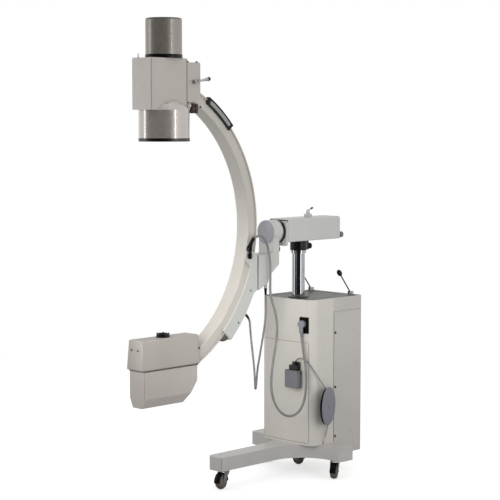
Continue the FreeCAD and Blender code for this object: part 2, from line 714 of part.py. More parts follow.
def make_caster_wheel(name, x, y, heading):
    # Wheel with a rounded tread, dished web and hub, about its axle.
    body = solid(
        name, x - trail * cosine(heading), y - trail * sine(heading), wheel_radius, (UP, heading)
    )
    bore = axle_radius + running
    tread = wheel_radius - tread_crown
    crown = (square(wheel_half) + square(tread_crown)) / (tread_crown * 2)
    web = wheel_hub_half - 8
    corners = [
        (bore, -wheel_hub_half), (bore + 7, -wheel_hub_half), (bore + 9, -web), (tread - 8, -web),
        (tread - 5, -wheel_half), (tread, -wheel_half), (tread, wheel_half), (tread - 5, wheel_half),
        (tread - 8, web), (bore + 9, web), (bore + 7, wheel_hub_half), (bore, wheel_hub_half),
    ]
    arcs = {5: (crown, (wheel_radius - crown, 0))}
    revolve(body, name + "_turning", outline(body, name + "_half", "XY_Plane", corners, arcs), "V_Axis")
    return body


def make_chassis_frame():
    # Floor plate of the cabinet with its four upright posts, welded together.
    body = solid("floor_plate", z=base_bottom)
    left = bar_back
    right = cabinet_rear - cabinet_wall - seam
    half = cabinet_half - cabinet_wall - seam
    plan = [(left, -half), (right, -half), (right, half), (left, half)]
    pad(body, "floor_sheet", outline(body, "floor_plan", "XY_Plane", plan), floor_plate)
    pieces = [body]
    low = base_bottom + floor_plate
    high = rim_top - deck_drop - deck_plate
    corner = rear_radius - cabinet_wall - seam
    dress("Fillet", body, "floor_corners", corner, [(*plan[n], floor_plate / 2) for n in (1, 2)])
    seat_pin(body, 3, rear_caster_x, rear_caster_y)
    for n, (x, y) in enumerate(plan):
        along, across = (1 if x is left else -1), (1 if n < 2 else -1)
        pieces.append(make_post(n, x, y, along, across, low, high, corner))
    return fuse("chassis_frame", pieces)


def make_post(n, x, y, along, across, low, high, corner):
    # Angle section standing in one corner of the cabinet.
    post = solid(f"post_{n}", z=low)
    wide, thick = post_width, post_wall
    plan = [
        (x, y), (x + wide * along, y), (x + wide * along, y + thick * across),
        (x + thick * along, y + thick * across), (x + thick * along, y + wide * across), (x, y + wide * across),
    ]
    pad(post, f"post_bar_{n}", outline(post, f"post_plan_{n}", "XY_Plane", plan), high - low)
    dress("Fillet", post, f"post_corner_{n}", corner, [(x, y, (high - low) / 2)])
    return post


def front_radius():
    crown = cabinet_front - cabinet_corner
    return (square(cabinet_half) + square(crown)) / (crown * 2)


def front_arc_x(inset, half):
    # Where the curved front, moved in by inset, reaches the given half width.
    radius = front_radius() - inset
    return front_radius() - cabinet_front - root(square(radius) - square(half))


def make_front_wall(name, low, high):
    # Upright U-shaped wall with a gently crowned front and round corners.
    body = solid(name, z=low)
    outer, inner = cabinet_half, cabinet_half - cabinet_wall
    outer_x, inner_x = front_arc_x(as_size(0), outer), front_arc_x(cabinet_wall, inner)
    centre = (front_radius() - cabinet_front, 0)
    corners = [
        (side_seam, -outer), (outer_x, -outer), (outer_x, outer), (side_seam, outer),
        (side_seam, inner), (inner_x, inner), (inner_x, -inner), (side_seam, -inner),
    ]
    arcs = {1: (front_radius(), centre), 5: (front_radius() - cabinet_wall, centre)}
    height = high - low
    pad(body, name + "_wall", outline(body, name + "_plan", "XY_Plane", corners, arcs), height)
    middle = height / 2
    dress("Fillet", body, name + "_corners", corner_radius, [(*corners[n], middle) for n in (1, 2)])
    inside = [(*corners[n], middle) for n in (5, 6)]
    dress("Fillet", body, name + "_inside", corner_radius - cabinet_wall, inside)
    return body


def window_block(name, shrink):
    reach = cabinet_front + 30
    return block(name, (-reach, as_size(-44)), (-panel_near + shrink, panel_far - shrink),
                 (panel_low + shrink, panel_high - shrink))


def make_front_shell():
    wall = make_front_wall("shell_wall", base_bottom + base_height, rim_top)
    opened = cut("shell_with_window", wall, window_block("window", as_size(0)))
    return cut("front_shell", opened, inlet_block("inlet_cutout", gap, 30))


def make_front_panel():
    wall = make_front_wall("panel_wall", panel_low - 10, panel_high + 10)
    return common("front_panel", wall, window_block("panel_limits", seam))


def make_rear_wall(name, low, high):
    # Upright U-shaped wall behind the side seam, with rounded rear corners.
    body = solid(name, z=low)
    start = side_seam + seam
    outer, inner = cabinet_half, cabinet_half - cabinet_wall
    rear = cabinet_rear
    corners = [
        (start, -outer), (rear, -outer), (rear, outer), (start, outer),
        (start, inner), (rear - cabinet_wall, inner), (rear - cabinet_wall, -inner), (start, -inner),
    ]
    pad(body, name + "_wall", outline(body, name + "_plan", "XY_Plane", corners), high - low)
    middle = (high - low) / 2
    dress("Fillet", body, name + "_corners", rear_radius, [(*corners[n], middle) for n in (1, 2)])
    inside = [(*corners[n], middle) for n in (5, 6)]
    dress("Fillet", body, name + "_inside", rear_radius - cabinet_wall, inside)
    return body


def make_top_band():
    # Band behind the front shell that carries the rear of the deck.
    return make_rear_wall("top_band", band_bottom, rim_top)


def make_side_panels():
    # Two side panels, each folded round its rear corner and notched over the cross bar.
    high = band_bottom - seam
    wall = make_rear_wall("sides_wall", base_bottom, high)
    fold = cabinet_half - cabinet_wall - post_width
    rear = block("rear_gap", (cabinet_rear - cabinet_wall - 1, cabinet_rear + 1), (-fold, fold),
                 (base_bottom - 1, high + 1))
    parted = cut("sides_parted", wall, rear)
    bar = block("bar_gap", (side_seam, bar_back + seam), (-cabinet_half - 1, cabinet_half + 1),
                (base_bottom - 1, base_bottom + base_height + seam))
    return cut("side_panels", parted, bar)


def make_rear_panel():
    # Rear panel with two columns of cooling slots.
    body = solid("rear_panel", cabinet_rear - cabinet_wall)
    half = cabinet_half - cabinet_wall - post_width - seam
    low, high = base_bottom, band_bottom - seam
    plan = [(-half, low), (half, low), (half, high), (-half, high)]
    pad(body, "rear_sheet", outline(body, "rear_plan", "YZ_Plane", plan), cabinet_wall)
    for n, side in enumerate((-1, 1)):
        inner, outer = half / 6 * side, (half / 6 + vent_width) * side
        slot = [(inner, vent_low), (outer, vent_low), (outer, vent_low + vent_height),
                (inner, vent_low + vent_height)]
        drawing = outline(body, f"slot_{n}", "YZ_Plane", slot)
        cutter = pocket(body, f"vent_{n}", drawing, cabinet_wall, back=True)
        row = body.newObject("PartDesign::LinearPattern", f"vents_{n}")
        row.Originals = [cutter]
        row.Direction = (drawing, ["V_Axis"])
        row.Length = value(vent_pitch) * (vent_count - 1)
        bind(row, "Length", vent_pitch * (vent_count - 1))
        row.Occurrences = vent_count
        body.Tip = row
        document.recompute([row])
    return body


def make_deck():
    # Recessed deck with a raised collar round the column.
    top = rim_top - deck_drop
    body = solid("deck", z=top - deck_plate)
    inset = cabinet_wall + gap
    half = cabinet_half - inset
    rear = cabinet_rear - inset
    front = front_arc_x(inset, half)
    corners = [(rear, -half), (front, -half), (front, half), (rear, half)]
    arcs = {1: (front_radius() - inset, (front_radius() - cabinet_front, 0))}
    pad(body, "deck_sheet", outline(body, "deck_plan", "XY_Plane", corners, arcs), deck_plate)
    middle = deck_plate / 2
    dress("Fillet", body, "deck_corners", corner_radius - inset, [(*corners[n], middle) for n in (1, 2)])
    dress("Fillet", body, "deck_rear_corners", rear_radius - inset, [(*corners[n], middle) for n in (0, 3)])
    ring = circle(body, "deck_ring", "XY_Plane", (0, 0), deck_collar, offset=deck_plate)
    pad(body, "deck_collar", ring, deck_drop + 3)
    hole = circle(body, "deck_hole", "XY_Plane", (0, 0), column_radius + 1.5, offset=-1)
    pocket(body, "deck_bore", hole, deck_plate + deck_drop + 5, back=True)
    for n, y in enumerate((-lever_near, lever_far)):
        wide = clevis_half()
        foot = [(lever_x - clevis_long, y - wide), (lever_x + clevis_long, y - wide),
                (lever_x + clevis_long, y + wide), (lever_x - clevis_long, y + wide)]
        seat = outline(body, f"clevis_seat_{n}", "XY_Plane", foot, offset=-1)
        pocket(body, f"clevis_hole_{n}", seat, deck_plate + 2, back=True)
    return body


def make_column_tube():
    # Outer sleeve with its foot flange and the upper bush.
    foot = base_bottom + base_height
    top = rim_top - deck_drop - deck_plate - 2
    bush = column_radius + running
    corners = [
        (sleeve_bore, foot), (sleeve_foot, foot), (sleeve_foot, foot + foot_plate),
        (sleeve_radius, foot + foot_plate), (sleeve_radius, top), (bush, top),
        (bush, top - bush_length), (sleeve_bore, top - bush_length),
    ]
    return upright_turning("column_tube", 0, corners)


def make_lift_drive():
    # Lift motor in the sleeve's foot, with its screw.
    foot = base_bottom + base_height
    motor = sleeve_bore - 1.5
    corners = [(0, foot), (motor, foot), (motor, motor_top), (screw_radius, motor_top),
               (screw_radius, screw_top), (0, screw_top)]
    return upright_turning("lift_drive", 0, corners)


def make_inner_column():
    # Chromed column: guide nut below, ring and pan spigot above.
    nut = column_low + piston_length
    bore = column_radius - column_wall
    guide = sleeve_bore - running
    lid = column_top - cap_height - 8
    corners = [
        (screw_radius + gap, column_low), (guide, column_low), (guide, nut), (column_radius, nut),
        (column_radius, column_top - cap_height), (cap_radius, column_top - cap_height),
        (cap_radius, column_top), (spigot_radius, column_top),
        (spigot_radius, column_top + spigot_height), (0, column_top + spigot_height), (0, lid),
        (bore, lid), (bore, nut), (screw_radius + gap, nut),
    ]
    return upright_turning("inner_column", 0, corners)


def make_power_inverter():
    # Generator electronics on the cabinet floor.
    low = base_bottom + floor_plate
    left = sleeve_foot + inverter_gap
    right = left + inverter_length
    high = low + inverter_height
    body = block("inverter_case", (left, right), (-inverter_half, inverter_half), (low, high))
    first = -fin_pitch * (fin_count - 1) / 2 - fin_thick / 2
    fins = []
    for n in range(fin_count):
        side = first + fin_pitch * n
        fins.append(block(f"inverter_fin_{n}", (right, right + fin_reach), (side, side + fin_thick),
                          (low + fin_margin, high - fin_margin)))
    return fuse("power_inverter", [body] + fins)


def inlet_body(name):
    return solid(name, -inlet_x, -inlet_y, inlet_z, (UP, inlet_turn))


def inlet_outline(body, name, grow):
    half, rise = inlet_half + grow, inlet_rise + grow
    corners = [(-half, -rise), (half, -rise), (half, rise), (-half, rise)]
    return outline(body, name, "YZ_Plane", corners, offset=-inlet_depth - grow)


def inlet_block(name, grow, extra):
    body = inlet_body(name)
    pad(body, name + "_pad", inlet_outline(body, name + "_plan", grow),
        inlet_depth + inlet_proud + grow + extra)
    return body


def make_inlet_box():
    # Black inlet box set into the curved front, with one open socket.
    body = inlet_body("inlet_box")
    pad(body, "inlet_case", inlet_outline(body, "inlet_plan", as_size(0)), inlet_depth + inlet_proud)
    spot = (inlet_half / 4, -inlet_rise * 0.6)
    socket = circle(body, "inlet_socket", "YZ_Plane", spot, inlet_half * 0.44, offset=inlet_proud)
    pocket(body, "inlet_socket_hole", socket, 3)
    return body


def make_inlet_plug():
    # Round angled plug with its boot pointing down.
    body = inlet_body("inlet_plug")
    face = circle(body, "plug_face", "YZ_Plane", (-plug_side, plug_rise), plug_radius, offset=inlet_proud)
    pad(body, "plug_round", face, plug_depth)
    foot = plug_rise - plug_radius - boot_length
    spot = (inlet_proud + plug_depth / 2, -plug_side)
    end = circle(body, "boot_end", "XY_Plane", spot, boot_radius, offset=foot)
    pad(body, "plug_boot", end, boot_length + plug_radius / 2)
    return body


def clevis_half():
    return lever_plate / 2 + gap + clevis_cheek


def make_lever_clevises():
    # Two clevises that stand in the deck and carry the brake levers.
    foot = rim_top - deck_drop - deck_plate
    pieces = []
    for n, y in enumerate((-lever_near, lever_far)):
        half = lever_plate / 2 + gap
        wide = clevis_half()
        high = lever_pivot + lever_eye
        body = block(f"clevis_block_{n}", (lever_x - clevis_long, lever_x + clevis_long),
                     (y - wide, y + wide), (foot, high))
        slot = block(f"clevis_slot_{n}", (lever_x - clevis_long - 1, lever_x + clevis_long + 1),
                     (y - half, y + half), (lever_pivot - lever_eye - seam, high + 1))
        pin = rod(f"clevis_pin_{n}", lever_pin, (lever_x, y - wide - 1.5, lever_pivot), ACROSS,
                  (wide + 1.5) * 2)
        pieces.append(fuse(f"clevis_{n}", [cut(f"clevis_cut_{n}", body, slot), pin]))
    return group("lever_clevises", pieces)


def make_deck_lever(name, y):
    # Brake lever: eye on the pin, slim rod and an oval ball.
    length = root(square(lever_run) + square(lever_rise))
    lean = arctangent(lever_run, lever_rise)
    body = solid(name, lever_x, y, lever_pivot, (ACROSS, -lean))
    eye = circle(body, name + "_eye_side", "XZ_Plane", (0, 0), lever_eye)
    pad(body, name + "_eye", eye, lever_plate, both=True)
    shank = circle(body, name + "_shank", "XY_Plane", (0, 0), lever_rod, offset=lever_eye - 2)
    pad(body, name + "_rod", shank, length - ball_half)
    hole = circle(body, name + "_hole", "XZ_Plane", (0, 0), lever_pin + running)
    pocket(body, name + "_bore", hole, lever_plate + 2, both=True)
    document.recompute()
    ball = document.addObject("Part::Ellipsoid", name + "_ball")
    for prop, amount in (("Radius1", ball_half), ("Radius2", ball_radius), ("Radius3", ball_radius)):
        setattr(ball, prop, value(amount))
        bind(ball, prop, amount)
    place(ball, lever_x - lever_run, y, lever_pivot + lever_rise, (ACROSS, -lean))
    return fuse(name + "_whole", [body, ball])


def make_foot_switch():
    # Foot switch case with its hook plate, cable block and hinge pin.
    front = switch_back + switch_depth
    case = block("switch_case", (-front, -switch_back), (-switch_near + 3, -switch_far - 3),
                 (switch_low, switch_high))
    hook = block("switch_hook", (-switch_back - 4, -switch_back), (-switch_near + 12, -switch_far - 20),
                 (switch_high, hook_high))
    head = block("switch_head", (-front + 2, -switch_back - 4), (-switch_near + 18, -switch_far - 14),
                 (switch_high, switch_high + 26))
    pin = rod("switch_pin", hinge_radius, (-front - hinge_radius - 4, -switch_near + 1, switch_high - 8),
              ACROSS, switch_near - switch_far - 2)
    ear_low = switch_high - 8 - hinge_radius - 2
    ears = [block(f"switch_ear_{n}", (-front - hinge_radius - 4, -front), (y, y + 5),
                  (ear_low, switch_high)) for n, y in enumerate((-switch_near + 24, -switch_far - 29))]
    spot = [cut(f"switch_ear_cut_{n}", ear, rod(f"switch_ear_bore_{n}", hinge_radius - 0.01,
            (-front - hinge_radius - 4, -switch_near, switch_high - 8), ACROSS, switch_near - switch_far))
            for n, ear in enumerate(ears)]
    far = switch_far + 22
    back = block("switch_back_plate", (-switch_back, front_arc_x(as_size(0), far)),
                 (-switch_near + 22, -far), (switch_low + 20, hook_high - 10))
    return fuse("foot_switch_body", [case, hook, head, pin, *spot, back])


def make_foot_pedal():
    # Pedal plate with two side skirts, hinged along its top edge.
    front = switch_back + switch_depth
    hinge_x = front + hinge_radius + 4
    top = switch_high + 2
    plate_back = front + pedal_gap
    plate = block("pedal_plate", (-plate_back - pedal_thick, -plate_back),
                  (-switch_near, -switch_far), (switch_low - 2, top))
    skirts = [block(f"pedal_skirt_{n}", (-plate_back, -front + 8), (y, y + 2.4), (switch_low + 4, top))
              for n, y in enumerate((-switch_near, -switch_far - 2.4))]
    whole = fuse("pedal_shell", [plate, *skirts])
    bore = rod("pedal_bore", hinge_radius + running, (-hinge_x, -switch_near - 5, switch_high - 8), ACROSS,
               switch_near - switch_far + 10)
    return cut("foot_pedal", whole, bore)


def winder_body(name):
    return solid(name, -winder_x, -winder_y, winder_z, (UP, winder_turn))


def make_winder_disc():
    # Dished disc that the switch cable is wound behind.
    body = winder_body("winder_disc")
    edge = winder_radius
    corners = [(0, 0), (edge, 0), (edge, winder_plate * -0.4), (edge - 4, -winder_plate),
               (14, -winder_plate), (12, -winder_plate - 2), (0, -winder_plate - 2)]
    revolve(body, "disc_turning", outline(body, "disc_half", "XY_Plane", corners), "V_Axis")
    return body


def make_winder_drum():
    # Black guard behind the disc's outer edge and the post that holds the winder.
    guard = winder_body("winder_guard")
    rim = winder_radius - 2
    corners = [(-rim, 0), (-rim, rim_depth), (-rim + 5, rim_depth), (-rim + 5, 4), (-drum_radius, 4),
               (-drum_radius, 0)]
    revolve(guard, "guard_turning", outline(guard, "guard_half", "XY_Plane", corners), "V_Axis",
            guard_span, both=True)
    drum = winder_body("winder_barrel")
    face = circle(drum, "barrel_face", "XZ_Plane", (0, 0), drum_radius)
    pad(drum, "barrel", face, drum_depth, back=True)
    x = -winder_x - drum_depth * sine(winder_turn) / 2
    foot = rod("winder_foot", drum_radius * 0.8, (x, -cabinet_half, winder_z), ACROSS * -1,
               winder_y - cabinet_half - drum_depth / 2)
    return fuse("winder_drum", [guard, drum, foot])


def make_pan_collar():
    # Collar on the column's spigot, with its clamp lug.
    floor = column_top + gap
    lid = column_top + spigot_height + gap
    bore = spigot_radius + running
    corners = [(bore, floor), (collar_radius, floor), (collar_radius, housing_bottom),
               (0, housing_bottom), (0, lid), (bore, lid)]
    body = upright_turning("pan_collar", 0, corners)
    plan = [(collar_radius - 12, -lug_half), (lug_reach, -lug_half), (lug_reach, lug_half),
            (collar_radius - 12, lug_half)]
    lug = outline(body, "lug_plan", "XY_Plane", plan, offset=floor - 0)
    pad(body, "clamp_lug", lug, housing_bottom - floor - 6)
    spot = (0, pan_knob_z)
    hole = circle(body, "lug_hole", "YZ_Plane", spot, knob_stud + running, offset=lug_reach)
    pocket(body, "lug_bore", hole, stud_length + 1)
    return body


def make_knob(name, start, turn, radius, length, stud, reach):
    # Clamp knob turned about its own axis: stud, neck, grip with a rounded end.
    body = solid(name, *start, turn)
    grip = gap + length * 0.3
    corners = [
        (0, -reach), (stud, -reach), (stud, gap), (radius * 0.7, gap), (radius * 0.75, grip),
        (radius, grip), (radius, length - 4), (radius - 4, length), (0, length),
    ]
    revolve(body, name + "_turning", outline(body, name + "_half", "XZ_Plane", corners), "V_Axis")
    flat = circle(body, name + "_flute", "XY_Plane", (radius * 1.12, 0), radius * 0.22, offset=grip - 0.5)
    flute = pocket(body, name + "_flute_cut", flat, length, back=True)
    ring = body.newObject("PartDesign::PolarPattern", name + "_flutes")
    ring.Originals = [flute]
    ring.Axis = (flat, ["N_Axis"])
    ring.Angle = 360
    ring.Occurrences = 6
    body.Tip = ring
    document.recompute([ring])
    return body


def make_arm_housing():
    # Box that carries the sliding arm: front flange, closed rear end and clamp seats.
    body = solid("arm_housing", z=hub_z)
    low, high = housing_bottom - hub_z, housing_bottom + housing_height - hub_z
    half = housing_half
    profile = [(-half, low), (half, low), (half, high), (-half, high)]
    front = -housing_front - flange_thick
    drawing = outline(body, "housing_profile", "YZ_Plane", profile, offset=-housing_front)
    pad(body, "housing_box", drawing, housing_front + housing_rear)
    dress("Fillet", body, "housing_top_edges", housing_round, [(0, y, high) for y in (-half, half)])
    dress("Fillet", body, "housing_low_edges", housing_round_low, [(0, y, low) for y in (-half, half)])
    wide, face_low, face_high = flange_half, flange_low - hub_z, flange_high - hub_z
    face = [(-wide, face_low), (wide, face_low), (wide, face_high), (-wide, face_high)]
    drawing = outline(body, "flange_profile", "YZ_Plane", face, offset=front)
    pad(body, "front_flange", drawing, flange_thick)
    middle = front + flange_thick / 2
    dress("Fillet", body, "flange_corners", flange_round, [(middle, y, z) for y, z in face])
    wall = housing_wall
    inside = [(-half + wall, low + wall), (half - wall, low + wall), (half - wall, high - wall),
              (-half + wall, high - wall)]
    drawing = outline(body, "housing_inside", "YZ_Plane", inside, offset=-housing_front)
    pocket(body, "housing_cavity", drawing, housing_front + housing_rear - wall, back=True)
    hole = circle(body, "flange_hole", "YZ_Plane", (0, 0), arm_radius + 1, offset=front - 1)
    pocket(body, "flange_bore", hole, flange_thick + 2, back=True)
    seat = circle(body, "knob_seat", "YZ_Plane", (-travel_knob_y, travel_knob_z - hub_z), 9,
                  offset=housing_rear)
    pad(body, "knob_boss", seat, 3)
    stud = circle(body, "knob_hole", "YZ_Plane", (-travel_knob_y, travel_knob_z - hub_z),
                  knob_stud + running, offset=housing_rear + 3)
    pocket(body, "knob_bore", stud, housing_wall + 5)
    boss = circle(body, "lock_seat", "XY_Plane", (lock_x, 0), lock_boss, offset=high)
    pad(body, "lock_boss", boss, lock_boss_height)
    bore = circle(body, "lock_hole", "XY_Plane", (lock_x, 0), knob_stud + running,
                  offset=high + lock_boss_height)
    pocket(body, "lock_bore", bore, lock_boss_height)
    stud = circle(body, "turn_hole", "XY_Plane", (-rotation_knob_x, 0), rotation_stud + running,
                  offset=face_low - 1)
    pocket(body, "turn_bore", stud, stud_length + 2, back=True)
    return body


def make_guide_ring():
    # Ring that the sliding arm runs through.
    front = -housing_front - flange_thick
    corners = [(front - ring_thick, arm_radius + running), (front - ring_thick, hub_radius - 2),
               (front - ring_thick + 2, hub_radius), (front, hub_radius), (front, arm_radius + running)]
    return level_turning("guide_ring", hub_z, corners)


def make_arm_lock_lever():
    # Clamp lever on top of the housing, with its small raised handle.
    base = housing_bottom + housing_height + lock_boss_height
    body = solid("lock_hub", lock_x, 0, base)
    top = lock_height
    corners = [(0, -stud_length), (knob_stud, -stud_length), (knob_stud, gap), (lock_radius, gap),
               (lock_radius, top * 0.5), (lock_radius * 0.75, top * 0.6), (lock_radius * 0.75, top - 2),
               (lock_radius * 0.5, top), (0, top)]
    revolve(body, "lock_turning", outline(body, "lock_half", "XZ_Plane", corners), "V_Axis")
    handle = rod("lock_handle", 3.5, (lock_x, as_size(0), base + top - 6), Vector(1, 0, 0.42), 30)
    tip = rod("lock_tip", 5, (lock_x + 22, as_size(0), base + top + 3.2), Vector(1, 0, 0.42), 12)
    return fuse("arm_lock_lever", [body, handle, tip])


def make_cross_arm():
    # Sliding arm: rotation spigot in front, square runner at the rear.
    spigot = -arm_front - pivot_length
    bore = arm_radius - arm_wall
    root_x = -arm_front + arm_flange
    corners = [
        (spigot, 0), (spigot, pivot_radius), (-arm_front, pivot_radius), (-arm_front, hub_radius - 0.5),
        (root_x, hub_radius - 0.5), (root_x, arm_radius), (arm_rear, arm_radius), (arm_rear, bore),
        (root_x + 18, bore), (root_x + 18, 0),
    ]
    body = level_turning("cross_arm", hub_z, corners)
    half = housing_half - housing_wall - gap
    low = housing_bottom + housing_wall + gap - hub_z
    high = housing_bottom + housing_height - housing_wall - gap - hub_z
    face = [(-half, low), (half, low), (half, high), (-half, high)]
    drawing = outline(body, "runner_profile", "YZ_Plane", face, offset=arm_rear - runner_length)
    pad(body, "runner", drawing, runner_length)
    hole = circle(body, "runner_hole", "YZ_Plane", (0, 0), bore, offset=arm_rear + 1)
    pocket(body, "runner_bore", hole, runner_length + 2)
    return body


def make_rotor_arm():
    # Hub on the rotation spigot, neck, block and the spacer behind the carriage.
    body = solid("rotor_arm", z=hub_z)
    side = [
        (-block_back, 0), (-block_back, block_step - hub_z), (-block_heel_x, block_heel_z - hub_z),
        (-block_toe_x, block_toe_z - hub_z),
        (-block_front, block_low - hub_z), (-block_front, block_top - hub_z),
        (-neck_front, block_top - hub_z), (-neck_front, 0),
    ]
    pad(body, "rotor_block", outline(body, "block_side", "XZ_Plane", side), block_half * 2, both=True)
    dress("Fillet", body, "block_corners", neck_round, [(*(side[n][0], 0, side[n][1]),) for n in (1, 2, 3, 6)])
    edge = [(-carriage_edge, saddle_low - hub_z), (-block_front, saddle_low - hub_z),
            (-block_front, saddle_high - hub_z), (-carriage_edge, saddle_high - hub_z)]
    pad(body, "saddle", outline(body, "saddle_side", "XZ_Plane", edge), saddle_half * 2, both=True)
    spot = (-arm_gland_x, -arm_gland_y)
    gland = circle(body, "gland_end", "XY_Plane", spot, gland_radius, offset=arm_gland_z - hub_z)
    pad(body, "cable_gland", gland, gland_length * 1.5)
    hub = circle(body, "hub_face", "YZ_Plane", (0, 0), hub_radius, offset=-hub_front)
    pad(body, "hub", hub, hub_front - arm_front - gap)
    hole = circle(body, "hub_hole", "YZ_Plane", (0, 0), pivot_radius + running, offset=-arm_front - gap)
    pocket(body, "hub_bore", hole, pivot_length)
    return body


def make_rotor_cap():
    # Crowned cap over the front of the hub.
    corners = [(-hub_front, 0), (-hub_front, hub_radius - 1), (-hub_front - 3, hub_radius - 1),
               (-hub_front - hub_cap * 0.6, hub_radius - 6), (-hub_front - hub_cap * 0.6, 0)]
    return level_turning("rotor_cap", hub_z, corners)


def polar(radius, angle):
    return (radius * cosine(angle), radius * sine(angle))


def c_body(name, turn=0):
    # A body about the centre of the C, turned towards an angle above the level.
    return solid(name, -c_x, 0, c_z, (ACROSS, -as_size(turn)))


def make_carriage():
    # Channel that the C runs through, with cheeks either side of it.
    body = c_body("carriage")
    top = carriage_top - c_z
    edge = c_x - carriage_edge
    corners = [
        (root(square(cheek_inner) - square(top)), top), (edge, top), (edge, carriage_step - c_z),
        polar(cheek_outer, -carriage_bend), polar(cheek_outer, -carriage_low),
        polar(cheek_inner, -carriage_low),
    ]
    arcs = {3: (cheek_outer, (0, 0)), 5: (cheek_inner, (0, 0))}
    side = outline(body, "carriage_side", "XZ_Plane", corners, arcs)
    pad(body, "carriage_block", side, cheek_half * 2, both=True)
    hollow = circle(body, "channel_side", "XZ_Plane", (0, 0), channel_radius)
    pocket(body, "channel", hollow, (c_half + channel_gap) * 2, both=True)
    return body


def make_carriage_rollers():
    # Four rollers behind the C and eight side rollers in its tracks.
    pieces = []
    middle = (c_outer + channel_radius) / 2
    radius = (channel_radius - c_outer) / 2 - gap
    track = c_outer - track_inset - track_width / 2
    wide = c_half + channel_gap
    for n in range(4):
        angle = -(roller_first + roller_pitch * n)
        x, z = polar(middle, angle)
        pieces.append(rod(f"roller_{n}", radius, (x - c_x, -wide, z + c_z), ACROSS, wide * 2))
        x, z = polar(track, angle)
        reach = track_depth + channel_gap - gap
        for m, y in enumerate((-wide, wide - reach)):
            pieces.append(rod(f"side_roller_{n}_{m}", roller_stub, (x - c_x, y, z + c_z), ACROSS, reach))
    return group("carriage_rollers", pieces)


def make_brake_lever():
    # Cranked lever on the carriage's back.
    x, z = polar(cheek_outer, -brake_angle)
    body = solid("brake_lever", x - c_x, 0, z + c_z, (ACROSS, 90 + brake_angle))
    corners = [(0, 0), (knob_stud, 0), (knob_stud, 4), (brake_boss, 4), (brake_boss, 16), (0, 16)]
    shift = [(r, h + gap - 4) if n > 2 else (r, h - stud_length) for n, (r, h) in enumerate(corners)]
    shift[2] = (knob_stud, gap)
    shift[3] = (brake_boss, gap)
    revolve(body, "brake_turning", outline(body, "brake_half", "XZ_Plane", shift), "V_Axis")
    arm = [(0, 3), (0, 12), (-46, 26), (-60, 24), (-60, 17), (-48, 18)]
    pad(body, "brake_arm", outline(body, "brake_side", "XZ_Plane", arm), 12, both=True)
    return body


def make_bored_carriage():
    # Carriage with the brake lever's bore and the bracket for lever and connector.
    x, z = polar(cheek_outer, -brake_angle)
    outward = Vector(*map(value, (cosine(brake_angle), 0, -sine(brake_angle))))
    inner_x, inner_z = polar(cheek_outer - stud_length - 1, -brake_angle)
    bore = rod("brake_bore", knob_stud + running, (inner_x - c_x, as_size(0), inner_z + c_z), outward,
               stud_length + 3)
    bored = cut("carriage_bored", make_carriage(), bore)
    gland_x, gland_z = polar(cheek_outer - 3, -gland_angle)
    way = Vector(*map(value, (cosine(gland_angle), 0, -sine(gland_angle))))
    start = (gland_x - c_x, -gland_y, gland_z + c_z)
    gland = rod("carriage_gland", gland_radius, start, way, gland_length + 3)
    return fuse("carriage_frame", [bored, make_connector_bracket(), gland])


def make_connector_bracket():
    # Plate on the near cheek with the clamp lever's pivot pin.
    body = solid("connector_bracket", 0, -cheek_half, 0)
    side = [(-carriage_edge - 4, 1050), (-carriage_edge - 4, 1108), (-pivot_x + 12, pivot_z + 8),
            (-pivot_x - 8, pivot_z + 8), (-pivot_x - 8, connector_low - 6), (-connector_x + 20, 1050)]
    pad(body, "bracket_plate", outline(body, "bracket_side", "XZ_Plane", side), bracket_plate)
    pin = circle(body, "bracket_pin_end", "XZ_Plane", (-pivot_x, pivot_z), 3)
    pad(body, "bracket_pin", pin, bracket_plate + 6)
    return body


def make_orbital_lock_lever():
    # Flat clamp lever beside the C.
    y = cheek_half + bracket_plate + gap
    body = solid("orbital_lock_lever", -pivot_x, -y, pivot_z, (ACROSS, -53))
    blade = [(-7, -7), (20, -7), (64, -6), (70, -2), (70, 3), (64, 7), (20, 8), (-7, 8)]
    pad(body, "blade", outline(body, "blade_side", "XZ_Plane", blade), 5)
    hole = circle(body, "blade_hole", "XZ_Plane", (0, 0), 3 + running, offset=-1)
    pocket(body, "blade_bore", hole, 8, back=True)
    return body


def make_cable_connector():
    # Round connector clipped to the bracket; the main cable leaves its top.
    low, high = connector_low, connector_high
    radius = connector_radius
    corners = [(0, low), (radius - 2, low), (radius, low + 3), (radius, high - 10), (radius - 2, high - 8),
               (radius - 2, high), (0, high)]
    body = upright_turning("connector_round", -connector_x, corners, y=-connector_y)
    clip = block("connector_clip", (-connector_x - 6, -connector_x + 6),
                 (-connector_y, -cheek_half - bracket_plate), (low + 6, high - 14))
    return fuse("cable_connector", [body, clip])


def make_c_profile():
    # The C: a bent profile with a roller track in each side.
    body = c_body("c_profile")
    inner, outer, half, edge, depth = c_inner, c_outer, c_half, c_edge, track_depth
    high = outer - track_inset
    low = high - track_width
    near = [
        (inner, -half + edge), (inner + edge, -half), (low, -half), (low, -half + depth),
        (high, -half + depth), (high, -half), (outer - edge, -half), (outer, -half + edge),
    ]
    corners = near + [(r, -y) for r, y in reversed(near)]
    section = outline(body, "c_section", "XY_Plane", corners)
    revolve(body, "c_sweep", section, "V_Axis", c_span * 2, both=True)
    return body


def make_grip_pad():
    # Raised grip on the near edge of the C.
    body = c_body("grip_pad", grip_angle)
    near = -c_half - grip_proud
    corners = [
        (cheek_inner, near), (c_outer + grip_rise, near), (c_outer + grip_rise, -c_half + 16),
        (c_outer, -c_half + 16), (c_outer, -c_half), (cheek_inner, -c_half),
    ]
    revolve(body, "grip_sweep", outline(body, "grip_section", "XY_Plane", corners), "V_Axis",
            grip_span, both=True)
    return body


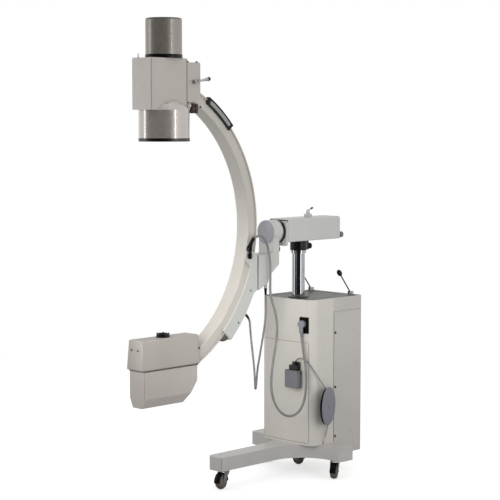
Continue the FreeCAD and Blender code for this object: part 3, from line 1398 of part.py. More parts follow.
def make_tube_head_body(c_profile):
    # Lower half of the tube head, bevelled underneath.
    body = solid("head_tray")
    left, right = -head_left, -head_right
    side = [(left, head_seam), (right, head_seam), (right, head_low + heel_high),
            (right - heel_in, head_low + heel_middle), (right - heel_foot, head_low), (left, head_low)]
    pad(body, "tray_block", outline(body, "tray_side", "XZ_Plane", side), head_half * 2, both=True)
    lean = head_bevel_up / head_bevel
    for n, hand in enumerate((-1, 1)):
        out = (head_half + 1) * hand
        inn = (head_half - head_bevel - 1) * hand
        high = head_low + head_bevel_up + lean
        bevel = [(out, high), (out, head_low - lean), (inn, head_low - lean)]
        drawing = outline(body, f"bevel_{n}", "YZ_Plane", bevel)
        pocket(body, f"bevel_cut_{n}", drawing, head_left * 4, both=True)
    wall = head_wall
    inside = [(left + wall, head_seam + 1), (right - wall, head_seam + 1), (right - wall, head_low + heel_high + 2),
              (right - heel_in - 5, head_floor), (left + wall, head_floor)]
    cavity = outline(body, "tray_inside", "XZ_Plane", inside)
    pocket(body, "tray_cavity", cavity, (head_half - wall) * 2, both=True)
    return cut("tube_head_body", body, c_profile)


def make_tube_head_cover(c_profile):
    # Upper half of the tube head, with the opening under the port ring.
    body = solid("head_lid")
    left, right, top = -cover_left, -cover_right, cover_top
    side = [(left, head_seam), (right, head_seam), (right, top), (left + cover_slope, top),
            (left, top - cover_slope_up)]
    pad(body, "lid_block", outline(body, "lid_side", "XZ_Plane", side), cover_half * 2, both=True)
    half = cover_half
    middle = (left + right) / 2
    dress("Fillet", body, "lid_edges", cover_round, [(middle, -half, top), (middle, half, top)])
    wall = head_wall
    inside = [(left + wall, head_seam - 1), (right - wall, head_seam - 1), (right - wall, top - wall),
              (left + cover_slope + 2, top - wall), (left + wall, top - cover_slope_up - 1)]
    cavity = outline(body, "lid_inside", "XZ_Plane", inside)
    pocket(body, "lid_cavity", cavity, (half - wall - 1) * 2, both=True)
    hole = circle(body, "port_hole", "XY_Plane", (-port_x, 0), port_radius, offset=top + 1)
    pocket(body, "port_opening", hole, wall + 3)
    return cut("tube_head_cover", body, c_profile)


def make_collimator_ring():
    # Stepped ring round the X-ray port, seated in the cover.
    top = cover_top
    foot = top - head_wall
    corners = [(port_bore, foot), (port_radius, foot), (port_radius, top + port_height * 0.5),
               (port_radius - 3, top + port_height), (port_bore, top + port_height)]
    return upright_turning("collimator_ring", -port_x, corners)


def make_xray_tank():
    # Oil-filled tank of the X-ray tube on the head's floor, with its exit window.
    radius = head_half - head_wall - 5
    axis = head_floor + radius
    left = -head_left + head_wall + 8
    tank = rod("tank_round", radius, (left, as_size(0), axis), Vector(1, 0, 0), 220)
    feet = [block(f"tank_foot_{n}", (left + step, left + step + 24), (-radius + 8, radius - 8),
                  (head_floor, head_floor + 16)) for n, step in enumerate((24, 172))]
    window = rod("tank_window", port_bore - 2, (-port_x, as_size(0), axis), UP, radius + 24)
    return fuse("xray_tank", [tank, *feet, window])


def make_ii_can(wall, name):
    # Intensifier can with its domed shoulder. A wall of nought gives the solid shape.
    dome = root(square(can_radius) + square(can_shoulder - dome_z))
    top = dome_z + root(square(dome) - square(dome_neck))
    corners = [(0, can_low), (can_radius, can_low), (can_radius, can_shoulder), (dome_neck, top), (0, top)]
    arcs = {2: (dome, (0, dome_z))}
    if value(wall):
        inner = dome - wall
        bore = can_radius - wall
        neck = dome_neck - wall
        lid = dome_z + root(square(inner) - square(neck))
        shoulder = dome_z + root(square(inner) - square(bore))
        corners[0] = (bore, can_low)
        corners += [(0, lid), (neck, lid), (bore, shoulder)]
        arcs[6] = (inner, (0, dome_z))
    return upright_turning(name, -beam_x, corners, arcs)


def make_ii_rim():
    # Rim and entrance window under the can.
    out = can_radius + rim_proud
    corners = [(window_radius, rim_low), (out, rim_low), (out, can_low), (0, can_low),
               (0, rim_low + window_inset), (window_radius, rim_low + window_inset)]
    return upright_turning("ii_rim", -beam_x, corners)


def make_ii_housing():
    # Square housing over the dome, open underneath.
    low = can_shoulder
    body = solid("ii_box", z=low)
    left, right, half = -box_left, -box_right, box_half
    plan = [(left, -half), (right, -half), (right, half), (left, half)]
    height = box_top - low
    pad(body, "ii_box_block", outline(body, "ii_box_plan", "XY_Plane", plan), height)
    dress("Fillet", body, "ii_box_edges", box_round, [(x, y, height / 2) for x, y in plan])
    wall = box_wall
    inside = [(left + wall, -half + wall), (right - wall, -half + wall), (right - wall, half - wall),
              (left + wall, half - wall)]
    cavity = outline(body, "ii_box_inside", "XY_Plane", inside)
    pocket(body, "ii_box_cavity", cavity, height - wall, back=True)
    return cut("ii_housing", body, make_ii_can(as_size(0), "dome_tool"))


def make_camera_housing():
    # Domed cover of the camera.
    wall = cabinet_wall
    top = camera_top
    out = camera_radius
    bend = camera_round
    corners = [(out - wall, camera_bottom), (out, camera_bottom), (out, top - bend), (out - bend, top),
               (0, top), (0, top - wall), (out - wall - bend / 2, top - wall), (out - wall, top - wall - bend / 2)]
    arcs = {2: (bend, (out - bend, top - bend))}
    return upright_turning("camera_housing", -beam_x, corners, arcs)


def make_camera_ring():
    # Dark ring under the camera cover, with the camera standing in it.
    low, high = box_top, camera_bottom
    tall = camera_top - camera_room
    corners = [(0, low), (camera_neck, low), (camera_neck, high), (camera_foot, high),
               (camera_body, high + camera_taper), (camera_body, tall - camera_bevel), (camera_end, tall),
               (0, tall)]
    return upright_turning("camera_ring", -beam_x, corners)


def make_ii_bracket(c_profile):
    # Bracket between the C's upper end and the intensifier housing.
    body = solid("bracket_block")
    left, right, half = -box_right, -bracket_right, bracket_half
    low, high = bracket_low, bracket_top
    side = [(left, low), (right - 26, low), (right, low + 26), (right, high), (left, high)]
    pad(body, "bracket_box", outline(body, "bracket_box_side", "XZ_Plane", side), half * 2, both=True)
    dress("Fillet", body, "bracket_rear_top", 5, [(right, 0, high)])
    wall = 6
    inside = [(-half + wall, bracket_floor), (half - wall, bracket_floor), (half - wall, high - wall),
              (-half + wall, high - wall)]
    cavity = outline(body, "bracket_inside", "YZ_Plane", inside, offset=left - 1)
    pocket(body, "bracket_cavity", cavity, box_right - bracket_right - 8, back=True)
    web = circle(body, "bracket_web_face", "XZ_Plane", (-ii_lever_x, ii_lever_z), 12, offset=half)
    pad(body, "bracket_web", web, 20, back=True)
    hole = circle(body, "bracket_hole", "XZ_Plane", (-ii_lever_x, ii_lever_z), knob_stud + running, offset=half)
    pocket(body, "bracket_bore", hole, stud_length + 1)
    return cut("ii_bracket", body, c_profile)


def make_ii_lock_lever():
    # Clamp lever on the near face of the bracket.
    body = solid("ii_lever_hub", -ii_lever_x, -bracket_half, ii_lever_z, (ACROSS, -ii_lever_lean))
    corners = [(0, stud_length), (knob_stud, stud_length), (knob_stud, -gap), (9, -gap), (9, -13), (6, -16),
               (0, -16)]
    revolve(body, "ii_lever_turning", outline(body, "ii_lever_half", "XY_Plane", corners), "V_Axis")
    shank = circle(body, "ii_lever_shank_end", "YZ_Plane", (-9, 0), 3.6)
    pad(body, "ii_lever_shank", shank, ii_lever_reach - 24)
    grip = circle(body, "ii_lever_grip_end", "YZ_Plane", (-9, 0), 6.5, offset=ii_lever_reach - 28)
    pad(body, "ii_lever_grip", grip, 28)
    return body


def cord(name, radius, points):
    # A round cable: straight runs joined by tangent arcs, through points from the column axis.
    document.recompute()
    thickness = float(getattr(sheet, radius.text.split(".")[1]))
    spots = [Vector(*map(value, (x + column_x, y, z))) for x, y, z in points]
    edges = []
    here = spots[0]
    smallest = 1e9
    for before, corner, after in zip(spots, spots[1:], spots[2:]):
        reach = 0.45 * min(before.distanceToPoint(corner), after.distanceToPoint(corner))
        back = (before - corner).normalize()
        onward = (after - corner).normalize()
        half = back.getAngle(onward) / 2
        middle = (back + onward).normalize()
        bend = reach * math.tan(half)
        smallest = min(smallest, bend)
        start, end = corner + back * reach, corner + onward * reach
        crown = corner + middle * (reach / math.cos(half) - bend)
        edges += [Part.LineSegment(here, start).toShape(), Part.Arc(start, crown, end).toShape()]
        here = end
    edges.append(Part.LineSegment(here, spots[-1]).toShape())
    route = Part.Wire(edges)
    section = Part.Wire(Part.makeCircle(thickness, spots[0], spots[1] - spots[0]))
    item = document.addObject("Part::Feature", name)
    item.Shape = route.makePipeShell([section], True, False)
    item.Placement = FreeCAD.Placement()
    share = item.Shape.Volume / (math.pi * thickness ** 2 * route.Length)
    print(name, "length", round(route.Length), "smallest bend", round(smallest), "volume share", round(share, 3))
    if abs(share - 1) > 0.01:
        raise ValueError(f"{name} isn't a clean sweep")
    return item


def make_main_cable():
    # Cable from the connector beside the C down to the inlet plug.
    out = inlet_proud + plug_depth / 2
    boot_x = -inlet_x + out * cosine(inlet_turn) + plug_side * sine(inlet_turn)
    boot_y = -inlet_y + out * sine(inlet_turn) - plug_side * cosine(inlet_turn)
    boot_z = inlet_z + plug_rise - plug_radius - boot_length
    x, y, z = connector_x, connector_y, connector_high
    return cord("main_cable", main_cable_radius, [
        (-x, -y, z), (-x, -y, z + 30), (-376, -y, 1200), (-331, -y, 1207), (-294, -y, 1170),
        (-276, -y, 1105), (-271, -68, 1040), (-270, -68, 985), (-272, -68, 930), (-262, -72, 880),
        (-246, -80, 825), (-241, -88, 762), (-255, -95, 692), (-278, -100, 619), (-298, -105, 546),
        (-310, -112, 475), (-303, -120, 414), (-280, -130, 364), (-245, -140, 333), (-206, -150, 323),
        (-168, -158, 337), (-140, -164, 373), (-122, -166, 430), (-117, -165, 498), (-116, -158, 561),
        (-116, -146, 614), (-111, -133, 655), (boot_x, boot_y, boot_z - 26), (boot_x, boot_y, boot_z),
    ])


def make_arm_cable():
    # Loop of cable between the carriage and the rotor block.
    out = cheek_outer + gland_length
    x, z = polar(out, -gland_angle)
    far_x, far_z = polar(out + 36, -gland_angle)
    return cord("arm_cable", arm_cable_radius, [
        (x - c_x, -gland_y, z + c_z), (far_x - c_x, -gland_y, far_z + c_z), (-372, -33, 758),
        (-371, -40, 692), (-369, -50, 620), (-369, -60, 545), (-367, -60, 486), (-349, -45, 462),
        (-323, -24, 462), (-305, -9, 486), (-298, -8, 548), (-287, -13, 612), (-278, -20, 680),
        (-270, -28, 752), (-265, -34, 825), (-arm_gland_x, -arm_gland_y, 890),
        (-arm_gland_x, -arm_gland_y, arm_gland_z),
    ])


def make_switch_cable():
    # Foot switch cable, behind the winder disc and down to the base.
    x = switch_back + switch_depth / 2
    end = base_bottom + base_height + 12
    return cord("switch_cable", switch_cable_radius, [
        (-x, -88, switch_high + 26), (-x, -88, switch_high + 49), (-109, -106, 594), (-101, -127, 592),
        (-92, -148, 576), (-82, -165, 553), (-70, -180, 524), (-55, -192, 494), (-36, -200, 466),
        (-14, -202, 436), (6, -198, 403), (20, -192, 364), (24, -189, 321), (19, -189, 279),
        (8, -190, 240), (-switch_gland_x, -switch_gland_y, 205), (-switch_gland_x, -switch_gland_y, end),
    ])


def build_all():
    c_profile = make_c_profile()
    pieces = {
        "base_frame": make_base_frame(),
        "chassis_frame": make_chassis_frame(),
        "front_shell": make_front_shell(),
        "front_panel": make_front_panel(),
        "top_band": make_top_band(),
        "side_panels": make_side_panels(),
        "rear_panel": make_rear_panel(),
        "deck_plate": make_deck(),
        "column_tube": make_column_tube(),
        "lift_drive": make_lift_drive(),
        "inner_column": make_inner_column(),
        "power_inverter": make_power_inverter(),
        "inlet_box": make_inlet_box(),
        "inlet_plug": make_inlet_plug(),
        "lever_clevises": make_lever_clevises(),
        "deck_lever_near": make_deck_lever("deck_lever_near", -lever_near),
        "deck_lever_far": make_deck_lever("deck_lever_far", lever_far),
        "foot_switch_body": make_foot_switch(),
        "foot_pedal": make_foot_pedal(),
        "winder_disc": make_winder_disc(),
        "winder_drum": make_winder_drum(),
        "pan_collar": make_pan_collar(),
        "arm_housing": make_arm_housing(),
        "guide_ring": make_guide_ring(),
        "arm_lock_lever": make_arm_lock_lever(),
        "pan_lock_knob": make_knob("pan_lock_knob", (lug_reach, 0, pan_knob_z), (ACROSS, 90),
                                   knob_radius, knob_length, knob_stud, stud_length),
        "travel_lock_knob": make_knob("travel_lock_knob", (housing_rear + 3, -travel_knob_y, travel_knob_z),
                                      (ACROSS, 90), knob_radius, travel_knob_length, knob_stud, 7),
        "rotation_lock_knob": make_knob("rotation_lock_knob", (-rotation_knob_x, 0, flange_low),
                                        (ACROSS, 180), rotation_knob_radius, rotation_knob_length,
                                        rotation_stud, stud_length),
        "cross_arm": make_cross_arm(),
        "rotor_arm": make_rotor_arm(),
        "rotor_cap": make_rotor_cap(),
        "carriage": make_bored_carriage(),
        "carriage_rollers": make_carriage_rollers(),
        "brake_lever": make_brake_lever(),
        "orbital_lock_lever": make_orbital_lock_lever(),
        "cable_connector": make_cable_connector(),
        "c_profile": c_profile,
        "grip_pad": make_grip_pad(),
        "tube_head_body": make_tube_head_body(c_profile),
        "tube_head_cover": make_tube_head_cover(c_profile),
        "collimator_ring": make_collimator_ring(),
        "xray_tank": make_xray_tank(),
        "ii_can": make_ii_can(can_wall, "ii_can"),
        "ii_rim": make_ii_rim(),
        "ii_housing": make_ii_housing(),
        "camera_housing": make_camera_housing(),
        "camera_ring": make_camera_ring(),
        "ii_bracket": make_ii_bracket(c_profile),
        "ii_lock_lever": make_ii_lock_lever(),
        "main_cable": make_main_cable(),
        "arm_cable": make_arm_cable(),
        "switch_cable": make_switch_cable(),
    }
    for name, (x, y, heading) in caster_places().items():
        pieces[f"{name}_caster_fork"] = make_caster_fork(f"{name}_caster_fork", x, y, heading)
        pieces[f"{name}_caster_wheel"] = make_caster_wheel(f"{name}_caster_wheel", x, y, heading)
    return pieces


def caster_places():
    front, near, far = side_and_front_casters()
    return {
        "front": (*front, front_heading),
        "near": (*near, near_heading),
        "far": (*far, far_heading),
        "rear": (rear_caster_x, rear_caster_y, rear_heading),
    }


def finish(pieces):
    document.recompute()
    for item in document.Objects:
        if "Invalid" in item.State or "Error" in item.State:
            raise ValueError(f"{item.Name} has state {item.State}")
    os.makedirs("parts", exist_ok=True)
    for name, item in pieces.items():
        item.Label = name
        if item.Shape.isNull() or not item.Shape.isValid():
            raise ValueError(f"{name} has no valid shape")
        item.Shape.exportStep(f"parts/{name}.step")
    print(len(pieces), "pieces written")


finish(build_all())
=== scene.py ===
import math

import bmesh
import bpy
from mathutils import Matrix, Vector


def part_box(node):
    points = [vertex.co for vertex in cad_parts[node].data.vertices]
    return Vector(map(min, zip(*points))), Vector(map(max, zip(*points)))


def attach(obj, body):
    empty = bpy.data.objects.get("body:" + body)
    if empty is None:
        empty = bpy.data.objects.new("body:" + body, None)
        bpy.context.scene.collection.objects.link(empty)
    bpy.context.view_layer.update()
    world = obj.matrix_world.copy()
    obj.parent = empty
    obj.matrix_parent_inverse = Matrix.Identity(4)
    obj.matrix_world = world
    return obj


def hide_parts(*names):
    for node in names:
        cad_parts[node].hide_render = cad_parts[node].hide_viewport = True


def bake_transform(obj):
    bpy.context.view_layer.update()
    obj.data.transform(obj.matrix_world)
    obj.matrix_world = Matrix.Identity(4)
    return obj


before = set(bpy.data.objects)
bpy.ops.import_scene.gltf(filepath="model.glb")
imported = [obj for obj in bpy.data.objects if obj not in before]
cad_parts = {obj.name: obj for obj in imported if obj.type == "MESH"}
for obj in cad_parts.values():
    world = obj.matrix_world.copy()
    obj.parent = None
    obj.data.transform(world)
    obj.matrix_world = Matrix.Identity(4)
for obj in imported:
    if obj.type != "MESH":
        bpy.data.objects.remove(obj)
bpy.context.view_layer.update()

axes = {
    "columnX": 397,  # the column, in millimetres from the middle of the machine
    "beamX": -888.5,  # the beam, the C's middle and its height are measured from the column
    "arcX": -1038.5,
    "arcZ": 1256.9,
}


def at(x, y, z):
    # A place in millimetres from the column's axis, as a point in metres
    return Vector((x / 1000 + axes["columnX"] / 1000, y / 1000, z / 1000))


def onArc(radius, y, turn):
    # A point on a circle round the middle of the C
    return at(axes["arcX"] + radius * math.cos(turn), y, axes["arcZ"] + radius * math.sin(turn))


def place(name, data):
    piece = bpy.data.objects.new(name, data)
    bpy.context.scene.collection.objects.link(piece)
    return piece


def aimAt(holder, target):
    holder.rotation_euler = (Vector(target) - holder.location).to_track_quat("-Z", "Y").to_euler()


# Studio

studio = {
    "floorReach": 40,
    "floorTone": (0.9, 0.9, 0.9),
    "floorMottle": 2,
    "floorRough": 0.95,
    "floorGlow": 0.6,  # lifts the paper floor towards white
    "paperBounce": (0.52, 0.52, 0.52),  # what the paper throws back at the machine
    "fadeFrom": 1.2,
    "fadeTo": 4.5,
    "backdrop": (1, 1, 1),
    "fill": (0.58, 0.582, 0.585),
    "fillTop": (0.54, 0.54, 0.54),
    "fillTopFrom": 0.8,
}
mirrored = {
    "heading": (-0.95, -0.3, 0),  # side of the room that plated parts show dark
    "fadeFrom": -0.15,
    "fadeTo": 0.6,
    "ahead": 0.02,
    "behind": 0.8,
}


def paperFinish():
    # Paper that glows a little for the camera and throws less light at the machine
    paper = bpy.data.materials.new("floorPaper")
    paper.use_nodes = True
    nodes, links = paper.node_tree.nodes, paper.node_tree.links
    shader = nodes["Principled BSDF"]
    coords = nodes.new("ShaderNodeTexCoord")
    noise = nodes.new("ShaderNodeTexNoise")
    noise.inputs["Scale"].default_value = studio["floorMottle"]
    links.new(coords.outputs["Object"], noise.inputs["Vector"])
    ramp = nodes.new("ShaderNodeValToRGB")
    ramp.color_ramp.elements[0].color = (*[c * 0.98 for c in studio["floorTone"]], 1)
    ramp.color_ramp.elements[1].color = (*studio["floorTone"], 1)
    links.new(noise.outputs["Fac"], ramp.inputs["Fac"])
    links.new(ramp.outputs["Color"], shader.inputs["Base Color"])
    shader.inputs["Roughness"].default_value = studio["floorRough"]
    shader.inputs["Emission Color"].default_value = (1, 1, 1, 1)
    shader.inputs["Emission Strength"].default_value = studio["floorGlow"]
    bounce = nodes.new("ShaderNodeBsdfDiffuse")
    bounce.inputs["Color"].default_value = (*studio["paperBounce"], 1)
    # Far from the machine the paper turns into the backdrop
    far = nodes.new("ShaderNodeVectorMath")
    far.operation = "LENGTH"
    links.new(coords.outputs["Object"], far.inputs[0])
    away = nodes.new("ShaderNodeMapRange")
    away.inputs["From Min"].default_value = studio["fadeFrom"]
    away.inputs["From Max"].default_value = studio["fadeTo"]
    away.interpolation_type = "SMOOTHSTEP"
    links.new(far.outputs["Value"], away.inputs["Value"])
    backdrop = nodes.new("ShaderNodeEmission")
    backdrop.inputs["Color"].default_value = (*studio["backdrop"], 1)
    clear = nodes.new("ShaderNodeBsdfTransparent")
    path = nodes.new("ShaderNodeLightPath")
    seen, unseen, mix = (nodes.new("ShaderNodeMixShader") for k in range(3))
    for node, factor, near, beyond in (
        (seen, away.outputs["Result"], shader.outputs["BSDF"], backdrop.outputs["Emission"]),
        (unseen, away.outputs["Result"], bounce.outputs["BSDF"], clear.outputs["BSDF"]),
        (mix, path.outputs["Is Camera Ray"], unseen.outputs["Shader"], seen.outputs["Shader"]),
    ):
        links.new(factor, node.inputs["Fac"])
        links.new(near, node.inputs[1])
        links.new(beyond, node.inputs[2])
    links.new(mix.outputs["Shader"], nodes["Material Output"].inputs["Surface"])
    return paper


def buildFloor():
    mesh = bpy.data.meshes.new("studioFloor")
    drawing = bmesh.new()
    reach = studio["floorReach"]
    corners = ((-reach, -reach, 0), (reach, -reach, 0), (reach, reach, 0), (-reach, reach, 0))
    drawing.faces.new([drawing.verts.new(c) for c in corners])
    drawing.to_mesh(mesh)
    drawing.free()
    mesh.materials.append(paperFinish())
    place("studioFloor", mesh)


def buildWorld():
    # White backdrop, soft fill, and a dim room in reflections
    world = bpy.data.worlds.new("studioWorld")
    bpy.context.scene.world = world
    world.use_nodes = True
    nodes, links = world.node_tree.nodes, world.node_tree.links
    coords = nodes.new("ShaderNodeTexCoord")
    split = nodes.new("ShaderNodeSeparateXYZ")
    ramp = nodes.new("ShaderNodeValToRGB")
    ramp.color_ramp.elements[0].position = 0
    ramp.color_ramp.elements[0].color = (*studio["fill"], 1)
    ramp.color_ramp.elements[1].position = studio["fillTopFrom"]
    ramp.color_ramp.elements[1].color = (*studio["fillTop"], 1)
    links.new(coords.outputs["Generated"], split.inputs["Vector"])
    links.new(split.outputs["Z"], ramp.inputs["Fac"])
    path = nodes.new("ShaderNodeLightPath")
    glossy = nodes.new("ShaderNodeMix")
    glossy.data_type = "RGBA"
    links.new(path.outputs["Is Glossy Ray"], glossy.inputs["Factor"])
    links.new(ramp.outputs["Color"], glossy.inputs["A"])
    # In reflections the room is dark towards the heading and pale behind the machine
    towards = nodes.new("ShaderNodeVectorMath")
    towards.operation = "DOT_PRODUCT"
    towards.inputs[1].default_value = mirrored["heading"]
    links.new(coords.outputs["Generated"], towards.inputs[0])
    room = nodes.new("ShaderNodeMapRange")
    room.interpolation_type = "SMOOTHSTEP"
    room.inputs["From Min"].default_value = mirrored["fadeFrom"]
    room.inputs["From Max"].default_value = mirrored["fadeTo"]
    room.inputs["To Min"].default_value = mirrored["behind"]
    room.inputs["To Max"].default_value = mirrored["ahead"]
    links.new(towards.outputs["Value"], room.inputs["Value"])
    links.new(room.outputs["Result"], glossy.inputs["B"])
    seen = nodes.new("ShaderNodeMix")
    seen.data_type = "RGBA"
    links.new(path.outputs["Is Camera Ray"], seen.inputs["Factor"])
    links.new(glossy.outputs["Result"], seen.inputs["A"])
    seen.inputs["B"].default_value = (*studio["backdrop"], 1)
    links.new(seen.outputs["Result"], nodes["Background"].inputs["Color"])


# Heading in degrees round the machine, from +X towards +Y; the rest in metres and watts
lightAim = (-0.2, 0, 1.1)
lights = {
    "leftBox": {"heading": 138, "distance": 3.6, "height": 1.5, "size": (0.7, 2.6), "power": 15},
    "nearBox": {"heading": 272, "distance": 3.8, "height": 1.4, "size": (0.34, 2.6), "power": 18},
    "topBox": {"heading": 200, "distance": 0.6, "height": 4.6, "size": (2.4, 2.4), "power": 4},
    # Gridded box that lifts the cabinet's front and the foot of the C
    "frontBox": {"heading": 204, "distance": 0.88, "height": 1, "size": (0.6, 0.6), "power": 0.95,
                 "aim": (0.27, 0, 0.78), "spread": 72},
}


def buildLights():
    for name, facts in lights.items():
        turn = math.radians(facts["heading"])
        lamp = bpy.data.lights.new(name, "AREA")
        lamp.shape = "RECTANGLE"
        lamp.size, lamp.size_y = facts["size"]
        lamp.energy = facts["power"]
        holder = place(name, lamp)
        reach = facts["distance"]
        holder.location = (reach * math.cos(turn), reach * math.sin(turn), facts["height"])
        aimAt(holder, facts.get("aim", lightAim))
        holder.visible_camera = False
        if "spread" in facts:
            lamp.spread = math.radians(facts["spread"])
            holder.visible_glossy = False


camera = {
    "spot": (-5464.7, -5131.5, 1732.8),  # where the photograph was taken from
    "turn": 44.96,
    "pitch": -4.74,
    "lens": 109.05,
    "sensor": 36,
    "farthest": 200,
}


def buildCamera():
    eye = bpy.data.cameras.new("photoCamera")
    holder = place("photoCamera", eye)
    eye.sensor_width = camera["sensor"]
    eye.lens = camera["lens"]
    eye.clip_end = camera["farthest"]
    holder.location = at(*camera["spot"])
    turn, pitch = math.radians(camera["turn"]), math.radians(camera["pitch"])
    forward = Vector((math.sin(turn) * math.cos(pitch), math.cos(turn) * math.cos(pitch), math.sin(pitch)))
    holder.rotation_euler = forward.to_track_quat("-Z", "Y").to_euler()
    bpy.context.scene.camera = holder


buildFloor()
buildWorld()
buildLights()
buildCamera()
bpy.context.scene.view_settings.view_transform = "Standard"
print("studio ready")


# Finishes

finishes = {}
texture = {
    # Scales of the noises in each kind of finish, and the depth of its bumps in metres
    "enamelMottle": 5, "enamelWear": 38, "enamelPeel": 420, "enamelDepth": 0.0004, "enamelCoat": 0.12,
    "plasticMottle": 9, "plasticWear": 30, "plasticGrain": 900, "plasticDepth": 0.0002,
    "metalCloud": 14, "metalLines": 60, "metalDepth": 0.0002,
    "rubberDust": 24, "rubberDepth": 0.0003,
    "splitWear": 60,
}


def linear(colour):
    # Screen values 0-255 to the shader's linear values
    return [((c / 255 + 0.055) / 1.055) ** 2.4 if c > 10 else c / 255 / 12.92 for c in colour]


def scaled(base, share):
    return [min(1, c * share) for c in base]


def grey(value):
    return [min(1, value)] * 3


def newFinish(name):
    finish = bpy.data.materials.new(name)
    finish.use_nodes = True
    finishes[name] = finish
    tree = finish.node_tree
    coords = tree.nodes.new("ShaderNodeTexCoord")
    return tree, tree.nodes["Principled BSDF"], coords


def addNoise(tree, coords, scale, detail=3, rough=0.5, stretch=None):
    noise = tree.nodes.new("ShaderNodeTexNoise")
    noise.inputs["Scale"].default_value = scale
    noise.inputs["Detail"].default_value = detail
    noise.inputs["Roughness"].default_value = rough
    source = coords.outputs["Object"]
    if stretch:
        mapping = tree.nodes.new("ShaderNodeMapping")
        mapping.inputs["Scale"].default_value = stretch
        tree.links.new(source, mapping.inputs["Vector"])
        source = mapping.outputs["Vector"]
    tree.links.new(source, noise.inputs["Vector"])
    return noise.outputs["Fac"]


def addRamp(tree, source, stops, target=None):
    ramp = tree.nodes.new("ShaderNodeValToRGB")
    elements = ramp.color_ramp.elements
    while len(elements) < len(stops):
        elements.new(0.5)
    for element, (spot, colour) in zip(elements, stops):
        element.position = spot
        element.color = (*colour, 1)
    tree.links.new(source, ramp.inputs["Fac"])
    if target:
        tree.links.new(ramp.outputs["Color"], target)
    return ramp.outputs["Color"]


def addBump(tree, shader, source, strength, depth):
    bump = tree.nodes.new("ShaderNodeBump")
    bump.inputs["Strength"].default_value = strength
    bump.inputs["Distance"].default_value = depth
    tree.links.new(source, bump.inputs["Height"])
    tree.links.new(bump.outputs["Normal"], shader.inputs["Normal"])


def enamel(name, colour, rough=0.32, peel=0.25, shift=0.035, shine=0.5):
    # Sprayed enamel: faint mottling, orange peel and handling marks
    tree, shader, coords = newFinish(name)
    base = linear(colour)
    mottle = addNoise(tree, coords, texture["enamelMottle"], 4)
    addRamp(tree, mottle, [(0.3, scaled(base, 1 - shift)), (0.5, base), (0.75, scaled(base, 1 + shift))],
            shader.inputs["Base Color"])
    wear = addNoise(tree, coords, texture["enamelWear"], 5, 0.6)
    addRamp(tree, wear, [(0.35, grey(rough * 0.85)), (0.7, grey(rough * 1.25))], shader.inputs["Roughness"])
    peelNoise = addNoise(tree, coords, texture["enamelPeel"], 2)
    addBump(tree, shader, peelNoise, peel, texture["enamelDepth"])
    shader.inputs["Coat Weight"].default_value = texture["enamelCoat"]
    shader.inputs["Coat Roughness"].default_value = texture["enamelCoat"]
    shader.inputs["Specular IOR Level"].default_value = shine


def moulded(name, colour, rough=0.48, grain=0.3, shine=0.5):
    # Moulded plastic with a fine spark-eroded grain
    tree, shader, coords = newFinish(name)
    base = linear(colour)
    mottle = addNoise(tree, coords, texture["plasticMottle"], 3)
    addRamp(tree, mottle, [(0.3, scaled(base, 0.95)), (0.7, scaled(base, 1.04))], shader.inputs["Base Color"])
    handling = addNoise(tree, coords, texture["plasticWear"], 4)
    addRamp(tree, handling, [(0.3, grey(rough * 0.85)), (0.75, grey(rough * 1.15))],
            shader.inputs["Roughness"])
    fine = addNoise(tree, coords, texture["plasticGrain"], 2)
    addBump(tree, shader, fine, grain, texture["plasticDepth"])
    shader.inputs["Specular IOR Level"].default_value = shine


def metal(name, colour, rough, brushed=None, mark=0.06):
    # Bare or plated metal; brushed gives the scale of the lines along each axis
    tree, shader, coords = newFinish(name)
    base = linear(colour)
    cloud = addNoise(tree, coords, texture["metalCloud"], 4)
    addRamp(tree, cloud, [(0.3, scaled(base, 1 - mark)), (0.7, base)], shader.inputs["Base Color"])
    shader.inputs["Metallic"].default_value = 1
    lines = addNoise(tree, coords, 1 if brushed else texture["metalLines"], 4, 0.6, brushed)
    addRamp(tree, lines, [(0.3, grey(rough * 0.7)), (0.7, grey(rough * 1.3))], shader.inputs["Roughness"])
    addBump(tree, shader, lines, 0.12, texture["metalDepth"])


def rubber(name, colour, rough=0.7, scale=260):
    # Rubber or felt, or a dark strip painted as the shade in a seam, dusty in places
    tree, shader, coords = newFinish(name)
    base = linear(colour)
    dust = addNoise(tree, coords, texture["rubberDust"], 5, 0.65)
    dusty = [min(1, c * 1.5 + 0.01) for c in base]
    addRamp(tree, dust, [(0.35, base), (0.8, dusty)], shader.inputs["Base Color"])
    addRamp(tree, dust, [(0.3, grey(rough * 0.85)), (0.8, grey(rough * 1.15))], shader.inputs["Roughness"])
    fine = addNoise(tree, coords, scale, 3)
    addBump(tree, shader, fine, 0.3, texture["rubberDepth"])


lacquer = {"rough": 0.03, "ior": 2.2}


